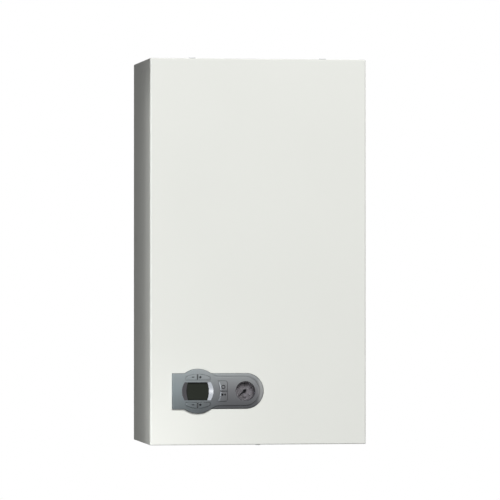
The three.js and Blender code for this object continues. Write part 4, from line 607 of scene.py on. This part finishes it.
make_camera()
make_world(0.04)
make_floor(-900, 2200)
lamp("key", (800, -6000, 4300), 2.4, 2.4, 27, mirrored=False)
lamp("left_strip", (-2650, -2400, 200), 0.26, 2.0, 12, (-88, -232, 200))
lamp(
    "left_glint", (-1474, -1032, 97), 0.7, 3.0, 7.4, (-88, -232, 97),
    colour=(0.86, 0.92, 1), lights=False,
)
lamp("top_gleam", (0, -800, 2600), 1.8, 1.0, 7, (0, -230, 300), lights=False)
lamp("edge_strip", (-268, -236, 300), 0.03, 0.72, 1.2, (-198, -190, 300))
lamp("corner_fill", (-230, -400, -30), 0.12, 0.12, 1.6, (-150, -230, 30))
lamp("rear", (3200, 1900, 1700), 1.6, 1.6, 9)

# ---------------------------------------------------------------- casing

WIDTH, HEIGHT, FRONT = 397, 700, -230
SHEET, CORNER, BEND = 1, 4, 2
FRONT_LIP, SIDE_LIP, LIP_CORNER = 17, 8, 0.6
TAB_MIDDLE, TAB_REACH, TAB_FRONT, TAB_CORNER = 120, 6.6, -220.6, 1
SCREW_Y, SCREW_SLOT = -220.5, 2.7
PAST = 2  # how far cutters reach past the sheet
FASCIA_CLEARANCE = 0.6


def casing_section(side, front, radius):
    """The U of the front and two sides, seen from above, set in by side and by front."""
    half, face = WIDTH / 2 - side, FRONT + front
    points = [(half, -1)]
    points += arc(half - radius, face + radius, radius, 0, -RIGHT_ANGLE, 7)
    points += arc(-half + radius, face + radius, radius, -RIGHT_ANGLE, -2 * RIGHT_ANGLE, 7)
    return points + [(-half, -1)]


def casing_cutters():
    """The control panel's window, the screw's slot below and a notch for each tab above."""
    window = fascia_outline(FASCIA_CLEARANCE)
    cuts = [cutter("y", [(window, FRONT - PAST), (window, FRONT + SHEET + PAST)], WHITE)]
    slot_end = -205
    slot = arc(0, SCREW_Y, SCREW_SLOT, math.pi, 2 * math.pi, 12)
    slot += [(SCREW_SLOT, slot_end), (-SCREW_SLOT, slot_end)]
    cuts.append(cutter("z", [(slot, -PAST), (slot, 2.5)], WHITE))
    notch_end = -200
    for side in (-1, 1):
        x = side * TAB_MIDDLE
        notch = rounded_rectangle(x - TAB_REACH, x + TAB_REACH, TAB_FRONT, notch_end, TAB_CORNER)
        cuts.append(cutter("z", [(notch, HEIGHT - 2.5), (notch, HEIGHT + PAST)], WHITE))
    return cuts


def make_casing():
    bm = bmesh.new()
    lip = casing_section(SIDE_LIP, FRONT_LIP, LIP_CORNER)
    edge = rounding(BEND, 4)
    rings = [(lip, 0)]
    for inset, along in edge:
        rings.append((casing_section(inset, inset, CORNER - inset), along))
    for inset, along in reversed(edge):
        rings.append((casing_section(inset, inset, CORNER - inset), HEIGHT - along))
    rings.append((lip, HEIGHT))
    loft(bm, "z", rings, closed=False, capped=False)
    casing = to_object("casing", bm, WHITE)
    largest = max(casing.data.polygons, key=lambda face: face.area)
    if largest.normal.dot(largest.center - at(*MIDDLE)) < 0:
        casing.data.flip_normals()
    skin = casing.modifiers.new("sheet", "SOLIDIFY")
    skin.thickness = SHEET * MM
    skin.offset = -1
    skin.use_even_offset = True
    applied(casing)
    carve(casing, casing_cutters())
    bevelled(casing, 0.2, 55).miter_outer = "MITER_ARC"
    applied(casing)
    piece(shaded(casing), "casing", "white_sheet", "casing_shell")


# ---------------------------------------------------------------- control panel

# Outlines are measured from the centre of the panel's disc.
DISC_X, DISC_Z, DISC = -111.5, 97.5, 40
HALF, LEFT, END = 32, -46.5, 88.4
TONGUE, TONGUE_END, FILLET = 26, 86.3, 25
RIM_FACE, FACE, BACK = -231.8, -234.2, -226.6
GAUGE_X, GAUGE_WINDOW, GAUGE_LEDGE = DISC_X + 86.8, 18, 1.2
AHEAD, BEHIND = FACE - 3, -220  # where cutters start and end, clear of the panel
INK_SLOT = 1  # the second material of pieces with printed marks


def on_disc(points):
    return [(DISC_X + u, DISC_Z + v) for u, v in points]


def fascia_outline(grow, steps=20):
    half, radius = HALF + grow, DISC + grow
    rise = math.asin(half / radius)
    left = LEFT - grow
    points = [(left, half), (left, -half)]
    points += arc(0, 0, radius, math.pi + rise, 2 * math.pi - rise, steps)
    points += arc(END, 0, half, -RIGHT_ANGLE, RIGHT_ANGLE, 2 * steps)
    points += arc(0, 0, radius, rise, math.pi - rise, steps)
    return on_disc(points)


def plateau_outline(grow, steps=20):
    """The raised field: the band's left part, the disc and a narrower tongue to the right."""
    half, radius, tongue, fillet = HALF + grow, DISC + grow, TONGUE + grow, FILLET - grow
    rise = math.asin(half / radius)
    v = tongue + fillet
    u = math.sqrt((radius + fillet) ** 2 - v**2)
    lean = math.atan2(v, u)
    left = LEFT - grow
    points = [(left, half), (left, -half)]
    points += arc(0, 0, radius, math.pi + rise, 2 * math.pi - lean, steps)
    points += arc(u, -v, fillet, math.pi - lean, RIGHT_ANGLE, 8)[1:]
    points += arc(TONGUE_END, 0, tongue, -RIGHT_ANGLE, RIGHT_ANGLE, 2 * steps)
    points += arc(u, v, fillet, -RIGHT_ANGLE, math.pi + lean - 2 * math.pi, 8)
    points += arc(0, 0, radius, lean, math.pi - rise, steps)[1:]
    return on_disc(points)


WINDOW_RIGHT, WINDOW_LEFT, WINDOW_HALF, WINDOW_DEPTH = 28.5, 29.7, 16.2, 4.4
DISPLAY_HALF, DISPLAY_ARC = 20.6, 45


def window_outline(steps=14):
    """The display window's mouth: two arcs, cut off above and below."""
    points = []
    for radius, turn in ((WINDOW_RIGHT, 0), (WINDOW_LEFT, math.pi)):
        reach = math.asin(WINDOW_HALF / radius)
        points += arc(0, 0, radius, turn - reach, turn + reach, steps)
    return on_disc(points)


def display_outline(grow, steps=14):
    """The display's own outline, with gently bowed sides."""
    radius, half = DISPLAY_ARC + grow, WINDOW_HALF + grow
    shift = DISPLAY_HALF - DISPLAY_ARC
    reach = math.asin(half / radius)
    points = arc(shift, 0, radius, -reach, reach, steps)
    points += arc(-shift, 0, radius, math.pi - reach, math.pi + reach, steps)
    return on_disc(points)


def arc_key_outline(side, level, grow, steps=10):
    """The keys above and below the display. side is -1 or 1; level is 1 above and -1 below."""
    inner, outer, base, top, bow = 2 - grow, 21.9 + grow, 20.5 - grow, 30.7, 49
    radius, middle = bow + grow, top - bow
    points = [(inner, base), (outer, base)]
    points += arc(0, middle, radius, math.acos(outer / radius), math.acos(inner / radius), steps)
    return on_disc([(side * u, level * v) for u, v in points])


def side_key_outline(level, grow, lean=0.0, steps=8):
    """The two keys right of the disc: 1 above the middle, -1 below.

    Their hollow side leans back by lean.
    """
    low, high, right = 0.6 - grow, 18.4 + grow, 53.6 + grow
    corner, inner = 4.5 + grow, 41 - grow + lean
    points = [(right, low)]
    points += arc(right - corner, high - corner, corner, 0, RIGHT_ANGLE, steps)
    for i in range(steps + 1):
        v = high + (low - high) * i / steps
        points.append((math.sqrt(inner**2 - v**2), v))
    return on_disc([(u, level * v) for u, v in points])


def bar(u, v, width, height):
    half_u, half_v = width / 2, height / 2
    return on_disc([
        (u - half_u, v - half_v), (u + half_u, v - half_v),
        (u + half_u, v + half_v), (u - half_u, v + half_v),
    ])


ARC_KEYS = {
    "water_minus": (-1, 1),
    "water_plus": (1, 1),
    "heating_minus": (-1, -1),
    "heating_plus": (1, -1),
}
SIDE_KEYS = {"power": 1, "mode": -1}
KEY_GAP = 0.55


def panel_cutters():
    """The display's window, six key holes, a groove between each pair, and the gauge's well."""
    window, display = window_outline(), display_outline(0)
    brink, floor = FACE - 0.2, FACE + WINDOW_DEPTH
    mouth = [(window, AHEAD), (window, brink), (display, floor), (display, BEHIND)]
    cuts = [cutter("y", mouth, DARK_GLOSS)]
    holes = [arc_key_outline(side, level, KEY_GAP) for side, level in ARC_KEYS.values()]
    holes += [side_key_outline(level, KEY_GAP) for level in SIDE_KEYS.values()]
    for hole in holes:
        cuts.append(cutter("y", [(hole, AHEAD), (hole, BEHIND)], SILVER))
    # Painted shade: each groove is cut with dark glossy faces, so that it reads as the shadowed
    # line between the paired keys.
    for level in (-1, 1):
        groove = bar(-0.9, level * 25.6, 1.7, 9.6)
        cuts.append(cutter("y", [(groove, AHEAD), (groove, FACE + 2.5)], DARK_GLOSS))
    # Painted shade: the well's walls take the dark glossy finish, which stands in for the shadow
    # round the gauge's window.
    well = circle(GAUGE_X, DISC_Z, GAUGE_WINDOW, 64)
    ledge = circle(GAUGE_X, DISC_Z, GAUGE_WINDOW - GAUGE_LEDGE, 64)
    steps = [(well, AHEAD), (well, FACE + 6), (ledge, FACE + 6), (ledge, BEHIND)]
    cuts.append(cutter("y", steps, DARK_GLOSS))
    return cuts


def plateau_groove():
    """A ring to carve a fine groove with, where the raised field meets the rim."""
    bm = bmesh.new()
    inner, outer = plateau_outline(-0.05), plateau_outline(1.2)
    front, floor = RIM_FACE - 1, RIM_FACE + 1.2
    section = [(inner, front), (outer, front), (outer, floor), (inner, floor), (inner, front)]
    loft(bm, "y", section, capped=False)
    bmesh.ops.remove_doubles(bm, verts=bm.verts, dist=0.001)
    return to_object("groove", bm, SILVER)


def make_fascia():
    rim = bmesh.new()
    rounded_prism(rim, "y", lambda grow: fascia_outline(grow - 0.03), RIM_FACE, BACK, 1.8, steps=6)
    panel = to_object("fascia_panel", rim, SILVER)
    field = bmesh.new()
    rounded_prism(field, "y", plateau_outline, FACE, BACK + 0.2, 0.9, steps=4)
    carve(panel, [to_object("raised", field, SILVER)], "UNION")
    carve(panel, [plateau_groove()])
    carve(panel, panel_cutters())
    piece(shaded(panel, sharp=24), "control_box", "silver_plastic", "fascia")


MARK, MARK_ROOT = 0.06, 0.1  # how far printed marks stand out of a face and reach into it


def mark(bm, outline, face, height=MARK):
    loft(bm, "y", [(outline, face - height), (outline, face + MARK_ROOT)], slot=INK_SLOT)


BOARD_FACE = -212
KEY_FACE, KEY_BACK = FACE - 0.9, -224.9
STEM, STEM_START, STEM_END = 1.8, -225, BOARD_FACE - 1.5
TAB_START, TAB_END = BACK + 0.35, -224.65


def key_root(bm, u, v, tab_u, tab_v):
    """The stem that reaches the board, and the tab that keeps the key behind the panel."""
    stem = [(0, STEM_START), (STEM, STEM_START), (STEM, STEM_END), (0, STEM_END)]
    lathe(bm, "y", DISC_X + u, DISC_Z + v, stem, 24, 0.4)
    left, right = [DISC_X + end for end in sorted(tab_u)]
    low, high = [DISC_Z + end for end in sorted(tab_v)]
    block(bm, left, right, TAB_START, TAB_END, low, high, 0.2)


def finish_key(name, bm):
    key = to_object(name + "_key_cap", bm, SILVER, INK)
    piece(shaded(key), name + "_button", "silver_plastic", name + "_key")


def make_arc_key(name, side, level):
    bm = bmesh.new()
    rounded_prism(
        bm, "y", lambda grow: arc_key_outline(side, level, grow), KEY_FACE, KEY_BACK, 0.7
    )
    key_root(bm, side * 12, level * 23.5, (side * 4, side * 23), (level * 19.4, level * 24.4))
    u, v = (4.2 if side > 0 else -9.2), (25.6 if level > 0 else -24.4)
    across, upright = (4.6, 1.5), (1.6, 4.6)
    mark(bm, bar(u, v, *across), KEY_FACE)
    if side > 0:
        mark(bm, bar(u, v, *upright), KEY_FACE)
    finish_key(name, bm)


def make_side_key(name, level):
    bm = bmesh.new()
    base = side_key_outline(level, 0)
    loft(bm, "y", [
        (side_key_outline(level, -0.5, 1.4), KEY_FACE),
        (side_key_outline(level, -0.15, 1.1), KEY_FACE + 0.2),
        (base, KEY_FACE + 1),
        (base, KEY_BACK),
    ])
    key_root(bm, 47.3, level * 9.2, (42.2, 54.8), (level * 2.6, level * 16.4))
    if name == "power":
        ring_mark(bm, 46.2, 7.6, 3.6, 2.3)
    else:
        for u, radius in ((44.2, 2.2), (49.4, 1.6)):
            mark(bm, circle(DISC_X + u, DISC_Z - 6.2, radius, 24), KEY_FACE)
    finish_key(name, bm)


def ring_mark(bm, u, v, outer, inner):
    root, front = KEY_FACE + MARK_ROOT, KEY_FACE - MARK
    section = [(inner, root), (inner, front), (outer, front), (outer, root)]
    lathe(bm, "y", DISC_X + u, DISC_Z + v, section, 32, 0, closed=True, slot=INK_SLOT)


def make_display():
    face, line = -229.6, 0.05
    bm = bmesh.new()
    rounded_prism(
        bm, "y", lambda grow: display_outline(grow - 0.3), face, BOARD_FACE - 0.35, 0.3
    )
    # Painted shadow: two dark bars along the display's top and left edges stand in for the shadow
    # that the window's walls cast on it.
    mark(bm, bar(0, 15.2, 40, 1.8), face, line)
    mark(bm, bar(-20, 0, 1.4, 28), face, line)
    display = to_object("display", bm, DISPLAY, INK)
    piece(shaded(display), "control_box", "display", "lcd_display")


DIAL_FACE, PRINT = -222.5, 0.05
NEEDLE_REST, SCALE_TURN = 220.5, -65.9  # degrees: the zero's place, and from number to number
NUMBERS, PARTS = 5, 4


def on_dial(angle, reach, across=0.0):
    """The point at a reach along a direction from the dial's centre, and across it."""
    turn = math.radians(angle)
    along_u, along_v = math.cos(turn), math.sin(turn)
    return (
        GAUGE_X + along_u * reach - along_v * across,
        DISC_Z + along_v * reach + along_u * across,
    )


def text_mesh(bm, text, size, u, v):
    """Adds flat printed figures to a mesh, centred on (u, v) on the dial."""
    curve = bpy.data.curves.new("figures", "FONT")
    curve.body = text
    curve.size = size
    curve.align_x = curve.align_y = "CENTER"
    curve.offset = 0.12
    thing = bpy.data.objects.new("figures", curve)
    scene.collection.objects.link(thing)
    graph = bpy.context.evaluated_depsgraph_get()
    mesh = bpy.data.meshes.new_from_object(thing.evaluated_get(graph))
    bpy.data.objects.remove(thing)
    mesh.transform(Matrix(((1, 0, 0, u), (0, 0, 1, DIAL_FACE - PRINT), (0, 1, 0, v), (0, 0, 0, 1))))
    first = len(bm.faces)
    bm.from_mesh(mesh)
    bm.faces.ensure_lookup_table()
    paint(bm.faces[first:], INK_SLOT)
    bpy.data.meshes.remove(mesh)


def dial_bar(bm, angle, start, end, width):
    half = width / 2
    ends = ((start, -half), (end, -half), (end, half), (start, half))
    mark(bm, [on_dial(angle, reach, across) for reach, across in ends], DIAL_FACE, PRINT)


def make_dial():
    """The gauge's case, with the printed scale on the floor of its cup."""
    bore, cup, case, bore_end = 1.3, 16.8, 19.5, DIAL_FACE + 3
    case_front, case_back = -226.3, BOARD_FACE - 0.3
    bm = bmesh.new()
    profile = [
        (bore, DIAL_FACE), (cup, DIAL_FACE), (cup, case_front), (case, case_front),
        (case, case_back), (0, case_back), (0, bore_end), (bore, bore_end), (bore, DIAL_FACE),
    ]
    lathe(bm, "y", GAUGE_X, DISC_Z, profile, 64, 0.2)
    for i in range(NUMBERS):
        angle = NEEDLE_REST + SCALE_TURN * i
        dial_bar(bm, angle, 11.8, 14.8, 1.1)
        text_mesh(bm, str(i), 3.0, *on_dial(angle, 9.4))
        if i < NUMBERS - 1:
            for k in range(1, PARTS):
                dial_bar(bm, angle + SCALE_TURN * k / PARTS, 12.8, 14.4, 0.35)
    text_mesh(bm, "bar", 5.0, GAUGE_X, DISC_Z - 11.4)
    dial = to_object("gauge_dial", bm, DIAL, INK)
    piece(shaded(dial), "control_box", "dial", "gauge_case")


def make_needle():
    hub, spindle, spindle_end = 2.9, 1, -220
    hub_front, hub_back = -224.8, -222.8
    bm = bmesh.new()
    profile = [
        (0, hub_front), (hub, hub_front), (hub, hub_back), (spindle, hub_back),
        (spindle, spindle_end), (0, spindle_end),
    ]
    lathe(bm, "y", GAUGE_X, DISC_Z, profile, 32, 0.3)
    tail, tip = -3.5, 13.5
    half = [(tail, 0.9), (0, 1.7), (tip, 0.5)]
    outline = [(reach, -across) for reach, across in half] + half[::-1]
    blade = [on_dial(NEEDLE_REST, reach, across) for reach, across in outline]
    loft(bm, "y", [(blade, -224.2), (blade, -223.4)])
    needle = to_object("needle_pointer", bm, INK)
    piece(shaded(needle), "needle", "black_plastic", "gauge_needle")


def make_pane():
    radius, front, back = 17.7, -229.7, -228.5
    bm = bmesh.new()
    profile = [(0, front), (radius, front), (radius, back), (0, back)]
    lathe(bm, "y", GAUGE_X, DISC_Z, profile, 64, 0.3)
    pane = to_object("gauge_pane", bm, CLEAR)
    piece(shaded(pane), "control_box", "clear", "gauge_glass")


make_casing()
make_fascia()
for key_name, (key_side, key_level) in ARC_KEYS.items():
    make_arc_key(key_name, key_side, key_level)
for key_name, key_level in SIDE_KEYS.items():
    make_side_key(key_name, key_level)
make_display()
make_dial()
make_needle()
make_pane()

# ---------------------------------------------------------------- flue and screws

FLUE_Y = -140


def make_flue():
    """The flanged air collar and the exhaust tube inside it."""
    bore, wall, flange, low, step, top = 48, 50, 63, 686.3, 688.8, 702.2
    collar = [(bore, low), (flange, low), (flange, step), (wall, step), (wall, top), (bore, top)]
    bm = bmesh.new()
    lathe(bm, "z", 0, FLUE_Y, collar, 72, 0.5, closed=True)
    piece(shaded(to_object("air_collar", bm, SPUN)), "chassis", "aluminium", "flue_collar")
    bore, wall, low, top = 30, 32, 652.5, 703
    bm = bmesh.new()
    tube = [(bore, low), (wall, low), (wall, top), (bore, top)]
    lathe(bm, "z", 0, FLUE_Y, tube, 64, 0.4, closed=True)
    piece(shaded(to_object("exhaust_spigot", bm, SPUN)), "chassis", "aluminium", "exhaust_tube")


def make_screw():
    """The casing's screw, with a low head and a cross recess."""
    bm = bmesh.new()
    profile = [(0, -1), (4.5, -1), (4.5, 0), (2, 0), (2, 7), (1, 8), (0, 8)]
    lathe(bm, "z", 0, SCREW_Y, profile, 32, 0.35)
    screw = to_object("low_head_screw", bm, GALVANISED)
    cross = []
    for half_x, half_y in ((2.2, 0.45), (0.45, 2.2)):
        bm = bmesh.new()
        block(bm, -half_x, half_x, SCREW_Y - half_y, SCREW_Y + half_y, -2, -0.3, 0.05)
        cross.append(to_object("recess", bm, DARK_STEEL))
    carve(screw, cross)
    piece(shaded(screw), "chassis", "galvanised", "casing_screw")


def cover_screw(bm, x, z):
    """A flanged hexagon screw in one of the chamber cover's holes."""
    face = -207.1
    profile = [
        (0, face - 1.1), (4.8, face - 0.5), (4.8, face), (1.8, face), (1.8, face + 3), (0, face + 3)
    ]
    lathe(bm, "y", x, z, profile, 24, 0.15)
    rounded_prism(
        bm, "y", lambda grow: circle(x, z, 3.6 + grow, 6), face - 3.6, face - 0.9, 0.4
    )


def make_cover_screws():
    bm = bmesh.new()
    for x in (-173, 173):
        for z in (246, 460.5, 675):
            cover_screw(bm, x, z)
    piece(shaded(to_object("cover_screws", bm, DARK_STEEL)), "chassis", "dark_steel")


make_flue()
make_screw()
make_cover_screws()

# ---------------------------------------------------------------- pieces kept from the CAD

KEPT = {
    "wall_rail": DARK_STEEL,
    "back_frame": GALVANISED,
    "top_panel": GALVANISED,
    "bottom_panel": GALVANISED,
    "cable_gland": BLACK,
    "sealed_chamber": GALVANISED,
    "chamber_cover": GALVANISED,
    "burner": GALVANISED,
    "gas_manifold": COPPER,
    "combustion_chamber": FIBRE,
    "main_heat_exchanger": COPPER,
    "flue_hood": ALUMINIUM,
    "fan_scroll": ALUMINIUM,
    "fan_wheel": ALUMINIUM,
    "fan_motor": DARK_STEEL,
    "air_pressure_switch": WHITE_PLASTIC,
    "pressure_hose": RUBBER,
    "ignition_electrode": CERAMIC,
    "expansion_vessel": RED,
    "vessel_hose": GALVANISED,
    "flow_block": BRASS,
    "diverter_spindle": GALVANISED,
    "diverter_motor": BLACK,
    "plate_heat_exchanger": GALVANISED,
    "gas_valve": ALUMINIUM,
    "flow_pipe": COPPER,
    "return_pipe": COPPER,
    "return_block": BRASS,
    "pump_volute": DARK_STEEL,
    "pump_motor": BLACK,
    "pump_impeller": WHITE_PLASTIC,
    "flow_sensor": BRASS,
    "flow_turbine": WHITE_PLASTIC,
    "filling_valve": BRASS,
    "filling_knob": BLUE,
    "safety_valve": BRASS,
    "safety_knob": RED_PLASTIC,
    "heating_flow_union": BRASS,
    "hot_water_union": BRASS,
    "gas_union": BRASS,
    "cold_water_union": BRASS,
    "heating_return_union": BRASS,
    "box_tray": GREY,
    "box_lid": GREY,
    "circuit_board": CIRCUIT,
}


def dress(node, material):
    """Gives a CAD node its material, rounded edges and smooth shading."""
    node.data.materials.clear()
    node.data.materials.append(material)
    node.data.shade_smooth()
    weld = node.modifiers.new("weld", "WELD")
    weld.merge_threshold = 0.005 * MM
    flat = node.modifiers.new("flat", "DECIMATE")
    flat.decimate_type = "DISSOLVE"
    flat.angle_limit = math.radians(1)
    bevelled(node, 0.35, 40)
    weighted(node)


for kept_name, kept_finish in KEPT.items():
    dress(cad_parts[kept_name], kept_finish)
